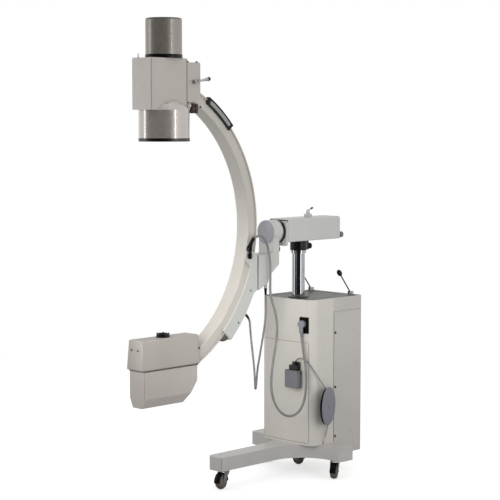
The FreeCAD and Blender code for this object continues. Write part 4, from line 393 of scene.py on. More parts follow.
def twoPart(name, low, high, aim, spot, edge, coat=None):
    # One piece in two finishes, parted by a plane across aim, edge millimetres from spot
    tree, shader, coords = newFinish(name)
    along = tree.nodes.new("ShaderNodeVectorMath")
    along.operation = "SUBTRACT"
    along.inputs[1].default_value = at(*spot)
    tree.links.new(coords.outputs["Object"], along.inputs[0])
    reach = tree.nodes.new("ShaderNodeVectorMath")
    reach.operation = "DOT_PRODUCT"
    reach.inputs[1].default_value = Vector(aim).normalized()
    tree.links.new(along.outputs["Vector"], reach.inputs[0])
    mask = tree.nodes.new("ShaderNodeMath")
    mask.operation = "GREATER_THAN"
    mask.inputs[1].default_value = edge / 1000
    tree.links.new(reach.outputs["Value"], mask.inputs[0])
    wear = addNoise(tree, coords, texture["splitWear"], 4)
    tones, glosses = [], []
    for colour, rough, plated in (low, high):
        base = linear(colour)
        tones.append(addRamp(tree, wear, [(0.3, scaled(base, 0.9)), (0.7, base)]))
        glosses.append(addRamp(tree, wear, [(0.3, grey(rough * 0.8)), (0.7, grey(rough * 1.2))]))
    for label, (below, above) in (("Base Color", tones), ("Roughness", glosses)):
        mix = tree.nodes.new("ShaderNodeMix")
        mix.data_type = "RGBA"
        tree.links.new(mask.outputs["Value"], mix.inputs["Factor"])
        tree.links.new(below, mix.inputs["A"])
        tree.links.new(above, mix.inputs["B"])
        tree.links.new(mix.outputs["Result"], shader.inputs[label])
    plating = tree.nodes.new("ShaderNodeMapRange")
    plating.inputs["To Min"].default_value = low[2]
    plating.inputs["To Max"].default_value = high[2]
    tree.links.new(mask.outputs["Value"], plating.inputs["Value"])
    tree.links.new(plating.outputs["Result"], shader.inputs["Metallic"])
    if coat:
        # Clear lacquer that mirrors the lights softly
        shader.inputs["Coat Weight"].default_value = coat
        shader.inputs["Coat Roughness"].default_value = lacquer["rough"]
        shader.inputs["Coat IOR"].default_value = lacquer["ior"]


castingGrey = (206, 199, 192)
enamels = {
    "cabinetEnamel": {"colour": (227, 222, 214), "peel": 0.14},
    "sideEnamel": {"colour": (212, 207, 201), "peel": 0.14},
    "castingEnamel": {"colour": castingGrey, "rough": 0.38, "peel": 0.2},
    "bowEnamel": {"colour": (216, 211, 202), "rough": 0.38, "peel": 0.2},
    "armEnamel": {"colour": (216, 217, 212), "rough": 0.36, "peel": 0.2},
    "baseEnamel": {"colour": (211, 208, 204), "rough": 0.4, "peel": 0.2},
    "blackEnamel": {"colour": (14, 14, 15), "rough": 0.35, "peel": 0.2, "shift": 0.2, "shine": 0.3},
}
plastics = {
    "coverPlastic": {"colour": (190, 183, 176)},
    "slatePlastic": {"colour": (178, 179, 188), "rough": 0.4},
    "winderPlastic": {"colour": (134, 134, 145), "rough": 0.4},
    "switchGrey": {"colour": (130, 131, 137), "rough": 0.42},
    "plugGrey": {"colour": (150, 151, 156), "rough": 0.36},
    "palePlastic": {"colour": (216, 213, 208), "rough": 0.4},
    "blackPlastic": {"colour": (12, 12, 13), "rough": 0.36, "shine": 0.3},
    "slatePale": {"colour": (168, 168, 168), "rough": 0.4},
    "wheelGrey": {"colour": (128, 122, 114), "rough": 0.5},
    "deckGrey": {"colour": (84, 84, 79), "rough": 0.4},
}
metals = {
    "chromePlate": {"colour": (184, 186, 190), "rough": 0.05, "brushed": (3, 3, 0.4), "mark": 0.02},
    "zincPlate": {"colour": (190, 190, 188), "rough": 0.32},
    "darkSteel": {"colour": (88, 86, 84), "rough": 0.38},
}
rubbers = {
    "clampRubber": {"colour": (66, 50, 46), "rough": 0.55, "scale": 300},
    # Grey and dark strips painted as the shade in seams and gaps; the dark one is also the felt of the wiper
    "seamGrey": {"colour": (150, 144, 138), "scale": 500},
    "feltGrey": {"colour": (92, 88, 80), "rough": 0.9, "scale": 600},
    "treadRubber": {"colour": (104, 97, 88)},
    "cableSheath": {"colour": (134, 135, 133), "rough": 0.5, "scale": 500},
}
# Below and above the plane: colour, roughness, and 1 where it is metal
leverSteel, leverBlack = ((150, 148, 145), 0.28, 1), ((18, 18, 20), 0.3, 0)
splits = {
    "nearLeverFinish": {"low": leverSteel, "high": leverBlack,
                        "aim": (-84, 0, 105), "spot": (253, -122, 889), "edge": 112},
    "farLeverFinish": {"low": leverSteel, "high": leverBlack,
                       "aim": (-84, 0, 105), "spot": (253, 148, 889), "edge": 112},
    "intensifierLeverFinish": {"low": ((176, 172, 166), 0.25, 1), "high": leverBlack,
                               "aim": (0.986, 0, 0.169), "spot": (-763, -60, 1925), "edge": 66},
    "armLeverFinish": {"low": ((214, 214, 210), 0.35, 0), "high": ((60, 60, 62), 0.4, 0),
                       "aim": (0, 0, 1), "spot": (0, 0, 1273), "edge": 40},
    "canMetal": {"low": ((206, 198, 191), 0.36, 0.5), "high": (castingGrey, 0.4, 0),
                 "aim": (0, 0, 1), "spot": (0, 0, 1797), "edge": 0, "coat": 1},
    # Camera housing: satin metal, with its top rim above the plane painted dark grey as painted shade and
    # painted reflection of the dim room
    "cameraMetal": {"low": ((168, 161, 153), 0.4, 0.6), "high": ((74, 70, 66), 0.5, 0),
                    "aim": (0, 0, 1), "spot": (0, 0, 2203), "edge": 0, "coat": 0.15},
    "switchFinish": {"low": ((108, 109, 114), 0.42, 0), "high": ((50, 46, 46), 0.4, 0),
                     "aim": (0, 0, 1), "spot": (0, 0, 513), "edge": 0},
}
makers = ((enamel, enamels), (moulded, plastics), (metal, metals), (rubber, rubbers), (twoPart, splits))
for make, table in makers:
    for name, facts in table.items():
        make(name, **facts)
print("finishes ready")

nodeFinish = {
    "nearLeverFinish": "deck_lever_near",
    "farLeverFinish": "deck_lever_far",
    "intensifierLeverFinish": "ii_lock_lever",
    "armLeverFinish": "arm_lock_lever",
    "cabinetEnamel": "chassis_frame front_shell front_panel",
    "sideEnamel": "top_band side_panels rear_panel",
    "baseEnamel": "base_frame",
    "canMetal": "ii_can",
    "cameraMetal": "camera_housing",
    "bowEnamel": "c_profile",
    "castingEnamel": "tube_head_body ii_housing ii_bracket",
    "armEnamel": "arm_housing column_tube carriage rotor_arm",
    "coverPlastic": "tube_head_cover",
    "chromePlate": "inner_column cross_arm",
    "zincPlate": "lift_drive power_inverter lever_clevises xray_tank carriage_rollers front_caster_fork "
                 "near_caster_fork far_caster_fork rear_caster_fork",
    "blackPlastic": "inlet_box pan_lock_knob rotation_lock_knob collimator_ring cable_connector "
                    "grip_pad winder_drum",
    "blackEnamel": "pan_collar guide_ring brake_lever orbital_lock_lever",
    "darkSteel": "camera_ring ii_rim",
    "slatePlastic": "rotor_cap",
    "winderPlastic": "winder_disc",
    "switchFinish": "foot_switch_body",
    "plugGrey": "inlet_plug",
    "switchGrey": "foot_pedal travel_lock_knob",
    "deckGrey": "deck_plate",
    "treadRubber": "front_caster_wheel near_caster_wheel far_caster_wheel rear_caster_wheel",
    "cableSheath": "main_cable arm_cable switch_cable",
}


def dressNodes():
    for finishName, names in nodeFinish.items():
        for name in names.split():
            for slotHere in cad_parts[name].material_slots:
                slotHere.link = "OBJECT"
                slotHere.material = finishes[finishName]


dressNodes()
print("frame dressed")


# Cables

cords = {
    "mainCable": {
        "node": "main_cable", "body": "stand", "radius": 6, "length": 1.525, "stiffness": "medium",
        "points": [
            (-407, -68, 1133), (-407, -68, 1163), (-376, -68, 1200), (-331, -68, 1207), (-294, -68, 1170),
            (-276, -68, 1105), (-271, -68, 1040), (-270, -68, 985), (-272, -68, 930), (-262, -72, 880),
            (-246, -80, 825), (-241, -88, 762), (-255, -95, 692), (-278, -100, 619), (-298, -105, 546),
            (-310, -112, 475), (-303, -120, 414), (-280, -130, 364), (-245, -140, 333), (-206, -150, 323),
            (-168, -158, 337), (-140, -164, 373), (-122, -166, 430), (-117, -165, 498), (-116, -158, 561),
            (-116, -146, 614), (-111, -133, 655), (-107.05, -122.36, 694), (-107.05, -122.36, 720),
        ],
        "follows": "column", "giveFrom": (-260, -80, 745), "giveTo": (-260, -80, 1120),
    },
    "armCable": {
        "node": "arm_cable", "body": "rotor", "radius": 5, "length": 0.915, "stiffness": "limp",
        "points": [
            (-403.5, -30, 828.6), (-373.6, -30, 808.4), (-372, -33, 758), (-371, -40, 692), (-369, -50, 620),
            (-369, -60, 545), (-367, -60, 486), (-349, -45, 462), (-323, -24, 462), (-305, -9, 486),
            (-298, -8, 548), (-287, -13, 612), (-278, -20, 680), (-270, -28, 752), (-265, -34, 825),
            (-270, -36, 890), (-270, -36, 945),
        ],
    },
    "switchCable": {
        "node": "switch_cable", "body": "stand", "radius": 3, "length": 0.542, "stiffness": "limp",
        "points": [
            (-112.5, -88, 557), (-112.5, -88, 580), (-109, -106, 594), (-101, -127, 592), (-92, -148, 576),
            (-82, -165, 553), (-70, -180, 524), (-55, -192, 494), (-36, -200, 466), (-14, -202, 436),
            (6, -198, 403), (20, -192, 364), (24, -189, 321), (19, -189, 279), (8, -190, 240),
            (-6, -188, 205), (-6, -188, 172),
        ],
    },
}
cordLines = {}  # each cable's centreline, filled as it is laid


def meshFrom(curve, bevelled):
    # A curve as a mesh, or its bare centreline
    shape = curve.copy()
    if not bevelled:
        shape.bevel_depth = 0
    holder = place("routeHolder", shape)
    mesh = bpy.data.meshes.new_from_object(holder.evaluated_get(bpy.context.evaluated_depsgraph_get()))
    bpy.data.objects.remove(holder)
    bpy.data.curves.remove(shape)
    return mesh


def routeCurve(name, facts):
    curve = bpy.data.curves.new(name, "CURVE")
    curve.dimensions = "3D"
    curve.bevel_depth = facts["radius"] / 1000
    curve.bevel_resolution = 5
    curve.resolution_u = 10
    curve.use_fill_caps = True
    spline = curve.splines.new("NURBS")
    spline.points.add(len(facts["points"]) - 1)
    for point, spot in zip(spline.points, facts["points"]):
        point.co = (*at(*spot), 1)
    spline.order_u = 3
    spline.use_endpoint_u = True
    curve.materials.append(finishes["cableSheath"])
    return curve


def buildCords():
    for name, facts in cords.items():
        curve = routeCurve(name, facts)
        line = meshFrom(curve, False)
        cordLines[name] = [v.co.copy() for v in line.vertices]
        bpy.data.meshes.remove(line)
        if "follows" in facts:
            tube = meshFrom(curve, True)
            bpy.data.curves.remove(curve)
            tube.name = name
            for face in tube.polygons:
                face.use_smooth = True
            piece = place(name, tube)
            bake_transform(piece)
        else:
            piece = place(name, curve)
            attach(piece, facts["body"])
        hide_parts(facts["node"])


buildCords()
print("cables laid")


# Fittings

up, ahead = (0, 0, 1), (-1, 0, 0)
sides = (("near", -1), ("far", 1))
edges = {"smoothTo": 40, "bevelFrom": 35, "segments": 2}  # angles in degrees


def finishPiece(name, drawing, finishName, body, smooth=edges["smoothTo"], bevel=None):
    # Turns a drawn mesh into a finished piece that rides a body
    bmesh.ops.recalc_face_normals(drawing, faces=drawing.faces)
    mesh = bpy.data.meshes.new(name)
    drawing.to_mesh(mesh)
    drawing.free()
    mesh.materials.append(finishes[finishName])
    for face in mesh.polygons:
        face.use_smooth = True
    mesh.set_sharp_from_angle(angle=math.radians(smooth))
    piece = place(name, mesh)
    if bevel:
        softened = piece.modifiers.new("softEdges", "BEVEL")
        softened.width = bevel / 1000
        softened.segments = edges["segments"]
        softened.limit_method = "ANGLE"
        softened.angle_limit = math.radians(edges["bevelFrom"])
    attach(piece, body)
    return piece


def bridge(drawing, rows, capped=True, closed=True):
    # Skins a row of outlines, each round or open, with both ends filled if capped
    for low, high in zip(rows, rows[1:]):
        for k in range(len(low) if closed else len(low) - 1):
            n = (k + 1) % len(low)
            drawing.faces.new((low[k], low[n], high[n], high[k]))
    if capped:
        drawing.faces.new(rows[0])
        drawing.faces.new(rows[-1])


def block(drawing, middle, size):
    for v in bmesh.ops.create_cube(drawing, size=1)["verts"]:
        v.co = at(*(m + s * c for m, s, c in zip(middle, size, v.co)))


def turned(drawing, profile, spot, aim, count=32):
    # A profile of (radius, height) turned round an axis; a radius of 0 closes the end
    facing = Vector(aim).normalized().to_track_quat("Z", "Y").to_matrix()
    origin = at(*spot)
    rings = []
    for radius, height in profile:
        ring = []
        for k in range(count if radius else 1):
            turn = 2 * math.pi * k / count
            flat = Vector((radius * math.cos(turn), radius * math.sin(turn), height)) / 1000
            ring.append(drawing.verts.new(origin + facing @ flat))
        rings.append(ring)
    for low, high in zip(rings, rings[1:]):
        for k in range(count):
            n = (k + 1) % count
            if len(low) == 1 and len(high) > 1:
                drawing.faces.new((low[0], high[k], high[n]))
            elif len(high) == 1 and len(low) > 1:
                drawing.faces.new((low[k], low[n], high[0]))
            elif len(low) > 1:
                drawing.faces.new((low[k], low[n], high[n], high[k]))


def turnedPiece(name, profile, spot, aim, count, finishName, body,
                smooth=edges["smoothTo"]):
    drawing = bmesh.new()
    turned(drawing, profile, spot, aim, count)
    finishPiece(name, drawing, finishName, body, smooth)


def screwHead(name, spot, aim, radius, body, finishName="zincPlate", proud=1.6):
    # Domed screw with a hexagon socket
    drawing = bmesh.new()
    socket, floor = radius * 0.45, 0.2
    turned(drawing, [(0, floor), (socket, floor)], spot, aim, 6)
    dome = [(socket, floor), (socket, proud * 0.95), (radius * 0.6, proud), (radius * 0.85, proud * 0.8),
            (radius, proud * 0.35), (radius, -0.4)]
    turned(drawing, dome, spot, aim, 24)
    finishPiece(name, drawing, finishName, body)


strip = {"wide": 4, "proud": 0.5, "shoulder": 0.2, "depth": 2}


def shadowGapStrip(name, spots, outs, body="stand", wide=None, finishName="feltGrey"):
    # Dark strip painted as the shade in a seam: spots along it, outs the way it faces at each
    drawing = bmesh.new()
    rows = []
    half = (wide or strip["wide"]) / 2
    section = ((-1, -strip["depth"]), (-1, strip["shoulder"]), (-0.5, strip["proud"]),
               (0.5, strip["proud"]), (1, strip["shoulder"]), (1, -strip["depth"]))
    for n, (spot, out) in enumerate(zip(spots, outs)):
        before, after = Vector(spots[max(n - 1, 0)]), Vector(spots[min(n + 1, len(spots) - 1)])
        out = Vector(out).normalized()
        across = (after - before).normalized().cross(out).normalized()
        rows.append([drawing.verts.new(at(*(Vector(spot) + across * half * side + out * lift)))
                     for side, lift in section])
    bridge(drawing, rows)
    finishPiece(name, drawing, finishName, body)


def straightShadowStrip(name, low, high, out, **more):
    shadowGapStrip(name, [low, high], [out, out], **more)


front = {"half": 176, "crown": 100, "corner": 84, "radius": 48, "cornerSteps": 12, "bowSteps": 40}


def frontPlan():
    # Outline of the cabinet's bowed front in plan, from the near side round to the far side
    rise, radius, steps = front["crown"] - front["corner"], front["radius"], front["cornerSteps"]
    bow = (front["half"] ** 2 + rise ** 2) / (2 * rise)
    middle = bow - front["crown"]
    cornerY = front["half"] - radius
    cornerX = middle - math.sqrt((bow - radius) ** 2 - cornerY ** 2)
    lean = math.atan2(cornerY, middle - cornerX)
    plan = []
    for k in range(steps + 1):
        turn = math.pi / 2 + (math.pi / 2 - lean) * k / steps
        out = (math.cos(turn), -math.sin(turn), 0)
        plan.append(((cornerX + radius * out[0], -cornerY + radius * out[1]), out))
    for k in range(1, front["bowSteps"]):
        turn = -lean + 2 * lean * k / front["bowSteps"]
        out = (-math.cos(turn), math.sin(turn), 0)
        plan.append(((middle + bow * out[0], bow * out[1]), out))
    for (x, y), out in reversed(plan[:steps + 1]):
        plan.append(((x, -y), (out[0], -out[1], 0)))
    return plan


shadowGaps = {
    "half": 176,
    "side": {"x": 69, "low": 164, "high": 812, "wide": 3.4},
    "band": {"from": 70, "to": 268, "height": 812.6, "wide": 2.2},
    "panel": {"near": -150, "far": 165, "low": 173, "high": 670, "wide": 2.4},
}


# Dark strips painted as the shadow in the cabinet's panel gaps and under its top band
def buildShadowGaps():
    side, band, panel = shadowGaps["side"], shadowGaps["band"], shadowGaps["panel"]
    for where, hand in sides:
        y = shadowGaps["half"] * hand
        straightShadowStrip(f"sideShadowLine_{where}", (side["x"], y, side["low"]), (side["x"], y, side["high"]),
                     (0, hand, 0), wide=side["wide"])
        straightShadowStrip(f"bandShadowLine_{where}", (band["from"], y, band["height"]), (band["to"], y, band["height"]),
                     (0, hand, 0), wide=band["wide"], finishName="seamGrey")
    plan = frontPlan()
    for name, height in (("panelShadowLineHigh", panel["high"]), ("panelShadowLineLow", panel["low"])):
        chosen = [((x, y, height), out) for (x, y), out in plan if panel["near"] <= y <= panel["far"]]
        shadowGapStrip(name, [c[0] for c in chosen], [c[1] for c in chosen],
                  wide=panel["wide"], finishName="seamGrey")
    for name, edge in (("panelShadowLineNear", panel["near"]), ("panelShadowLineFar", panel["far"])):
        (x, y), out = min(plan, key=lambda row: abs(row[0][1] - edge))
        straightShadowStrip(name, (x, y, panel["low"] + 1), (x, y, panel["high"] - 1), out,
                     wide=panel["wide"], finishName="seamGrey")


latches = {
    "x": 80, "heights": (707, 436, 190), "half": 176, "radius": 6.5,
    "slotWide": 1.8, "slotDeep": 1.6, "slotOut": 1.4,
}
panelScrews = {"x": 279, "half": 125, "heights": (130, 400, 780), "radius": 4.5}


def buildCabinetFittings():
    r = latches["radius"]
    profile = [(0, 1.2), (r * 0.55, 1.2), (r * 0.6, 2.4), (r * 0.85, 2.4), (r, 1.4), (r, -0.5)]
    for where, hand in sides:
        for n, height in enumerate(latches["heights"]):
            spot = (latches["x"], latches["half"] * hand, height)
            drawing = bmesh.new()
            turned(drawing, profile, spot, (0, hand, 0), 28)
            block(drawing, (spot[0], spot[1] + hand * latches["slotOut"], spot[2]),
                  (r * 0.95, latches["slotDeep"], latches["slotWide"]))
            finishPiece(f"panelLatch_{where}_{n}", drawing, "darkSteel", "stand", bevel=0.2)
    for n, height in enumerate(panelScrews["heights"]):
        for m, hand in enumerate((-1, 1)):
            spot = (panelScrews["x"], panelScrews["half"] * hand, height)
            screwHead(f"rearPanelScrew_{n}_{m}", spot, (1, 0, 0), panelScrews["radius"], "stand")


tubeCover = {"left": 1073, "right": 720, "low": 630, "high": 766, "halfLow": 56, "halfHigh": 46, "lean": 5}
# Band painted as the shadow under the lid, stood out from the body's sides
lidShade = {
    "left": -1058, "right": -733, "half": 50,
    "section": ((624.5, -1), (624.8, 2.6), (629.6, 3.2), (630, -1)),  # height, and how far it stands out
}
headCornerShade = {"low": 502, "high": 624, "wide": 2.6, "inset": 0.6}


def buildTubeCover():
    # Lid of the tube head, drawn in towards its top
    c = tubeCover
    drawing = bmesh.new()
    rows = []
    for share in (0, 0.5, 1):
        half = c["halfLow"] + (c["halfHigh"] - c["halfLow"]) * share
        left, right = -c["left"] + c["lean"] * share, -c["right"] - c["lean"] * share * 0.4
        z = c["low"] + (c["high"] - c["low"]) * share
        rows.append([drawing.verts.new(at(x, y, z))
                     for x, y in ((left, -half), (right, -half), (right, half), (left, half))])
    bridge(drawing, rows)
    lid = finishPiece("tubeCover", drawing, "coverPlastic", "c_arm", bevel=5)
    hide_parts("tube_head_cover")
    # Dark band painted as the shadow under the lid's overhang, and dark lines painted as the shade down the
    # two corners at the tray's outer end
    left, right, half = lidShade["left"], lidShade["right"], lidShade["half"]
    corners = ((left, -half), (right, -half), (right, half), (left, half))
    outs = ((-1, -1, 0), (1, -1, 0), (1, 1, 0), (-1, 1, 0))
    drawing = bmesh.new()
    rows = [[drawing.verts.new(at(x + out[0] * grow, y + out[1] * grow, z))
             for (x, y), out in zip(corners, outs)] for z, grow in lidShade["section"]]
    bridge(drawing, rows, capped=False)
    finishPiece("lidShadowLine", drawing, "feltGrey", "c_arm", bevel=0.6)
    for n, ((x, y), out) in enumerate(zip(corners, outs)):
        if out[0] < 0:
            inner = (x - out[0] * headCornerShade["inset"], y - out[1] * headCornerShade["inset"])
            straightShadowStrip(f"headCornerShadowLine_{n}", (*inner, headCornerShade["low"]), (*inner, headCornerShade["high"]), out,
                         body="c_arm", wide=headCornerShade["wide"], finishName="seamGrey")


headScrews = {
    "end": (-1073, 22, 722), "endRadius": 4.2,
    "hinge": (-728, 56, 703), "armTop": (-700, 38.75, 1812), "radius": 5,
    "carriage": ((-387, 52, 943), (-469, 52, 796)), "carriageRadius": 4.5,
}
portLid = {
    "spot": (-902, 0, 770), "profile": ((0, 5), (12, 5), (12.6, 4), (21, 4), (21.9, 3), (21.9, 0)),
    "ears": 4, "earCircle": 27, "earHeight": 781.5,
    "earProfile": ((0, 4.5), (2.6, 4.5), (3.4, 3.6), (3.4, 0)),
}


def buildHeadFittings():
    x, y, z = headScrews["end"]
    for n, hand in enumerate((-1, 1)):
        screwHead(f"headEndScrew_{n}", (x, y * hand, z), ahead, headScrews["endRadius"], "c_arm", "darkSteel")
    for where, hand in sides:
        for name, key in (("headHingeScrew", "hinge"), ("armTopScrew", "armTop")):
            x, y, z = headScrews[key]
            screwHead(f"{name}_{where}", (x, y * hand, z), (0, hand, 0), headScrews["radius"], "c_arm",
                      "blackPlastic")
        for n, (x, y, z) in enumerate(headScrews["carriage"]):
            screwHead(f"carriageScrew_{where}_{n}", (x, y * hand, z), (0, hand, 0),
                      headScrews["carriageRadius"], "rotor", "darkSteel")
    # Lid over the beam port, with its locating ears
    turnedPiece("beamPortLid", portLid["profile"], portLid["spot"], up, 48, "slatePlastic", "c_arm")
    x, y, z = portLid["spot"]
    for n in range(portLid["ears"]):
        turn = math.radians(45 + 90 * n)
        reach = portLid["earCircle"]
        spot = (x + reach * math.cos(turn), y + reach * math.sin(turn), portLid["earHeight"])
        turnedPiece(f"portRingEar_{n}", portLid["earProfile"], spot, up, 20, "blackPlastic", "c_arm")


capNuts = {
    "spots": ((-790, -50, 2013), (-734, -50, 2013), (-790, 50, 2013), (-734, 50, 2013)),
    "profile": ((0, 6.4), (3, 6.2), (5.6, 4.6), (6.4, 2), (6.4, 0.8), (7.6, 0.6), (7.6, -0.4)),
}
sightPin = {
    "spot": (-1008, 38, 2029),
    "profile": ((0, 20), (1.4, 19.6), (1.8, 18.4), (1.8, 3), (4.2, 2.4), (4.2, -0.4)),
}
clamp = {
    "dome": (-777, -38, 1819), "domeAim": (-0.3, -0.85, -0.4),
    "domeProfile": ((0, 15), (7, 14), (12.5, 10), (15, 3.5), (15, -10)),
    "block": (-742, -40, 1805), "blockSize": (36, 22, 44),
    "bolts": ((-741, -51, 1816), (-741, -51, 1793)), "boltProfile": ((0, 6), (5, 6), (6.5, 4.5), (6.5, -1)),
}
cameraFoot = {
    "spot": (axes["beamX"], 0, 0),
    "profile": ((79, 2029.2), (84.2, 2029.2), (84.6, 2030.2), (84.6, 2044.4), (83.6, 2046), (82.2, 2046.2)),
}
housing = {
    # Painted shade lines down the housing: their ends, width, and where they stand at the corner and at the
    # rear
    "low": 1801, "high": 2027, "shadowLineWide": 3,
    "corner": (-1020, 64), "rear": (-807.2, 65),
    "stop": (-720, -42, 1962), "stopProfile": ((0, 7), (5, 6.6), (9.5, 4.5), (11.5, 1), (11.5, -0.6)),
    "screws": ((-1013, -52, 2029), (-1013, 52, 2029), (-815, -52, 2029), (-815, 52, 2029)),
    "screwRadius": 3.6,
}
entrance = {
    "spot": (axes["beamX"], 0, 1664),
    "profile": ((0, -1.2), (60, -1.4), (96, -1), (101, -0.2), (103, 1)),
}


def buildIntensifierFittings():
    for n, spot in enumerate(capNuts["spots"]):
        turnedPiece(f"bracketCapNut_{n}", capNuts["profile"], spot, up, 24, "darkSteel", "c_arm")
    turnedPiece("sightPin", sightPin["profile"], sightPin["spot"], up, 20, "darkSteel", "c_arm")
    # Bolted clamp between the C's end and the can
    turnedPiece("clampDome", clamp["domeProfile"], clamp["dome"], clamp["domeAim"], 32,
                "palePlastic", "c_arm")
    drawing = bmesh.new()
    block(drawing, clamp["block"], clamp["blockSize"])
    finishPiece("clampBlock", drawing, "clampRubber", "c_arm", bevel=3)
    for n, spot in enumerate(clamp["bolts"]):
        turnedPiece(f"clampBolt_{n}", clamp["boltProfile"], spot, (0, -1, 0), 6,
                    "darkSteel", "c_arm", 20)
    # Rubber foot under the camera, and dark lines painted as the shade at the housing's corners and at its
    # joint with the bracket
    turnedPiece("cameraFoot", cameraFoot["profile"], cameraFoot["spot"], up, 96, "blackPlastic", "c_arm")
    for where, hand in sides:
        for name, key, out, finishName in (("housingCornerShadowLine", "corner", (-1, hand, 0), "seamGrey"),
                                           ("housingRearShadowLine", "rear", (0, hand, 0), "feltGrey")):
            x, y = housing[key][0], housing[key][1] * hand
            straightShadowStrip(f"{name}_{where}", (x, y, housing["low"]), (x, y, housing["high"]), out,
                         body="c_arm", wide=housing["shadowLineWide"], finishName=finishName)
    turnedPiece("bracketStop", housing["stopProfile"], housing["stop"], (1, 0, 0), 32,
                "darkSteel", "c_arm")
    for n, spot in enumerate(housing["screws"]):
        screwHead(f"housingTopScrew_{n}", spot, up, housing["screwRadius"], "c_arm")
    turnedPiece("entranceWindow", entrance["profile"], entrance["spot"], up, 72,
                "blackPlastic", "c_arm")


sleeve = {"spot": (-763, -69, 1925), "lean": 9.7, "start": 22, "end": 93, "slim": 5.2, "wide": 9}


def buildLeverSleeve():
    # Tapered hand sleeve on the intensifier clamp's lever, open at its black end
    start, end, slim, wide = (sleeve[key] for key in ("start", "end", "slim", "wide"))
    lean = math.radians(sleeve["lean"])
    aim = Vector((math.cos(lean), 0, math.sin(lean)))
    turnedPiece("leverSleeve", [(4, start), (slim, start + 0.6), (slim, start + 30), (wide - 0.6, end - 14),
                                (wide - 0.6, end - 12)],
                sleeve["spot"], aim, 32, "zincPlate", "intensifier_lock")
    turnedPiece("leverSleeveEnd", [(wide - 1.2, end - 12.4), (wide, end - 12), (wide + 0.4, end - 5),
                                   (wide - 0.6, end), (wide - 3, end), (wide - 4, end - 6), (0, end - 7)],
                sleeve["spot"], aim, 32, "blackPlastic", "intensifier_lock")


gripInlay = {
    "from": 42.2, "to": 55.8, "low": 690, "high": 709, "face": -46.75, "proud": 1.2, "steps": 36,
    "section": ((-1, -0.5), (-0.92, 0.7), (-0.7, 1), (0, 1.15), (0.7, 1), (0.92, 0.7), (1, -0.5)),
}


def buildGripInlay():
    # Pale strip let into the near face of the grip, rounded at both ends
    middle = (gripInlay["low"] + gripInlay["high"]) / 2
    half = (gripInlay["high"] - gripInlay["low"]) / 2
    sweep = gripInlay["to"] - gripInlay["from"]
    run = sweep * math.pi / 180 * middle
    drawing = bmesh.new()
    rows = []
    for k in range(gripInlay["steps"] + 1):
        share = k / gripInlay["steps"]
        turn = math.radians(gripInlay["from"] + sweep * share)
        away = min(share, 1 - share) * run
        wide = half if away > half else math.sqrt(max(half * half - (half - away) ** 2, 0.01))
        spots = [(middle + wide * across, gripInlay["face"] - gripInlay["proud"] * lift)
                 for across, lift in gripInlay["section"]]
        rows.append([drawing.verts.new(onArc(radius, y, turn)) for radius, y in spots])
    bridge(drawing, rows, capped=False, closed=False)
    finishPiece("gripInlay", drawing, "slatePale", "c_arm")


wiper = {
    "from": -46.05, "sweep": 2.6, "steps": 8, "inner": 708.4, "thick": 33, "half": 40,
    "taper": 0.55, "ease": 1.5,
}


def buildWiper():
    # Felt wiper under the carriage, against the back of the C
    drawing = bmesh.new()
    rows = []
    for k in range(wiper["steps"] + 1):
        turn = math.radians(wiper["from"] - wiper["sweep"] * k / wiper["steps"])
        outer = wiper["inner"] + wiper["thick"] * (1 - wiper["taper"] * (k / wiper["steps"]) ** wiper["ease"])
        spots = ((wiper["inner"], -wiper["half"]), (wiper["inner"], wiper["half"]),
                 (outer, wiper["half"]), (outer, -wiper["half"]))
        rows.append([drawing.verts.new(onArc(radius, y, turn)) for radius, y in spots])
    bridge(drawing, rows)
    finishPiece("trackWiper", drawing, "feltGrey", "rotor", bevel=1.2)


boots = {
    "mainCableTopBoot": {"cord": "mainCable", "atEnd": False, "body": "rotor",
                         "length": 66, "wide": 10.5, "slim": 7, "finish": "blackPlastic"},
    "mainCablePlugBoot": {"cord": "mainCable", "atEnd": True, "body": "stand",
                          "length": 24, "wide": 7.8, "slim": 6.5, "finish": "switchGrey"},
    "armCableCarriageBoot": {"cord": "armCable", "atEnd": False, "body": "rotor",
                             "length": 32, "wide": 8, "slim": 5.4, "finish": "blackPlastic"},
    "armCableBlockBoot": {"cord": "armCable", "atEnd": True, "body": "rotor",
                          "length": 32, "wide": 8, "slim": 5.4, "finish": "blackPlastic"},
    "switchCableTopBoot": {"cord": "switchCable", "atEnd": False, "body": "stand",
                           "length": 24, "wide": 5.4, "slim": 3.4, "finish": "blackPlastic"},
    "switchCableBaseBoot": {"cord": "switchCable", "atEnd": True, "body": "stand",
                            "length": 26, "wide": 6.6, "slim": 3.6, "finish": "palePlastic"},
}
bootRibs = {"step": 1.5, "groove": 0.8, "every": 3, "sides": 24, "ease": 0.8}


def buildBoots():
    # Ribbed strain reliefs that taper along each cable where it enters a housing
    count = bootRibs["sides"]
    for name, facts in boots.items():
        line = cordLines[facts["cord"]]
        if facts["atEnd"]:
            line = line[::-1]
        marks = [0]  # millimetres gone at each point of the line
        for here, after in zip(line, line[1:]):
            marks.append(marks[-1] + (after - here).length * 1000)
        side = (line[1] - line[0]).normalized().orthogonal().normalized()
        steps = int(facts["length"] / bootRibs["step"])
        drawing = bmesh.new()
        rings = []
        for k in range(steps + 1):
            gone = facts["length"] * k / steps
            n = max(i for i, m in enumerate(marks) if m <= gone)
            spot = line[n].lerp(line[n + 1], (gone - marks[n]) / (marks[n + 1] - marks[n]))
            along = (line[n + 1] - line[n]).normalized()
            side = (side - along * side.dot(along)).normalized()
            cross = along.cross(side)
            grooved = k % bootRibs["every"] == bootRibs["every"] - 1 and 0.2 < k / steps < 0.95
            share = (gone / facts["length"]) ** bootRibs["ease"]
            radius = facts["wide"] + (facts["slim"] - facts["wide"]) * share
            radius = (radius - (bootRibs["groove"] if grooved else 0)) / 1000
            turns = [2 * math.pi * m / count for m in range(count)]
            rings.append([drawing.verts.new(spot + (side * math.cos(t) + cross * math.sin(t)) * radius)
                          for t in turns])
        bridge(drawing, rings)
        finishPiece(name, drawing, facts["finish"], facts["body"])


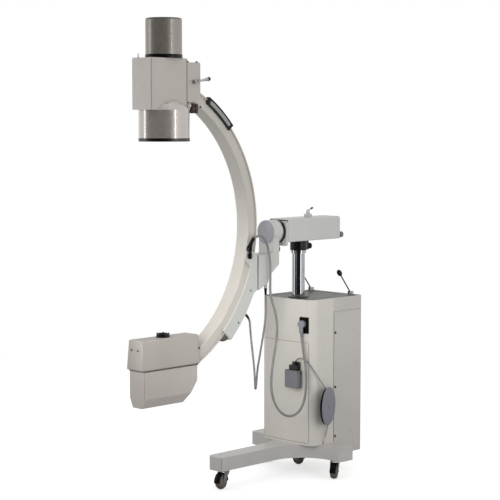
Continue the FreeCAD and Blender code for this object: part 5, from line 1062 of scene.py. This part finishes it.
hood = {
    "from": -4, "to": 184, "steps": 28, "half": 15,
    # Each corner as a share of half, and its gap to the tread
    "section": ((-1, 2), (1, 2), (1, 4), (0.8, 4.8), (-0.8, 4.8), (-1, 4)),
}
wheelFace = {
    "half": 16.2, "discIn": 0.7, "nutOut": 3.1,
    "disc": ((5, 0.6), (9, 0.9), (15, 0.6), (21, -0.6), (24, -2.6)),
    "nut": ((0, 3.4), (3, 3.2), (5.4, 2.2), (6, 0)),
}
wheelAxes = {
    "front": (-0.258819, 0.965926, 0), "near": (-0.515038, 0.857167, 0),
    "far": (0.573576, -0.819152, 0), "rear": (0.965926, -0.258819, 0),
}


def buildCasterFittings():
    for wheel, axis in wheelAxes.items():
        axis = Vector(axis)
        low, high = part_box(f"{wheel}_caster_wheel")
        middle = (low + high) / 2 * 1000
        spot = Vector((middle.x - axes["columnX"], middle.y, middle.z))
        radius = middle.z - low.z * 1000
        across = axis.cross(Vector(up))
        drawing = bmesh.new()
        rows = []
        for k in range(hood["steps"] + 1):
            turn = math.radians(hood["from"] + (hood["to"] - hood["from"]) * k / hood["steps"])
            ray = across * math.cos(turn) + Vector(up) * math.sin(turn)
            rows.append([drawing.verts.new(at(*(spot + ray * (radius + grow) + axis * hood["half"] * side)))
                         for side, grow in hood["section"]])
        bridge(drawing, rows)
        finishPiece(f"{wheel}WheelHood", drawing, "blackPlastic", f"{wheel}_swivel")
        for n, hand in enumerate((-1, 1)):
            out = axis * hand
            face = spot + out * wheelFace["half"]
            turnedPiece(f"{wheel}WheelDisc_{n}", wheelFace["disc"], face - out * wheelFace["discIn"], out, 40,
                        "wheelGrey", f"{wheel}_wheel")
            turnedPiece(f"{wheel}AxleNut_{n}", wheelFace["nut"], face + out * wheelFace["nutOut"], out, 6,
                        "zincPlate", f"{wheel}_swivel", 20)


buildShadowGaps()
buildCabinetFittings()
buildTubeCover()
buildHeadFittings()
buildIntensifierFittings()
buildLeverSleeve()
buildGripInlay()
buildWiper()
buildBoots()
buildCasterFittings()
print("fittings made")
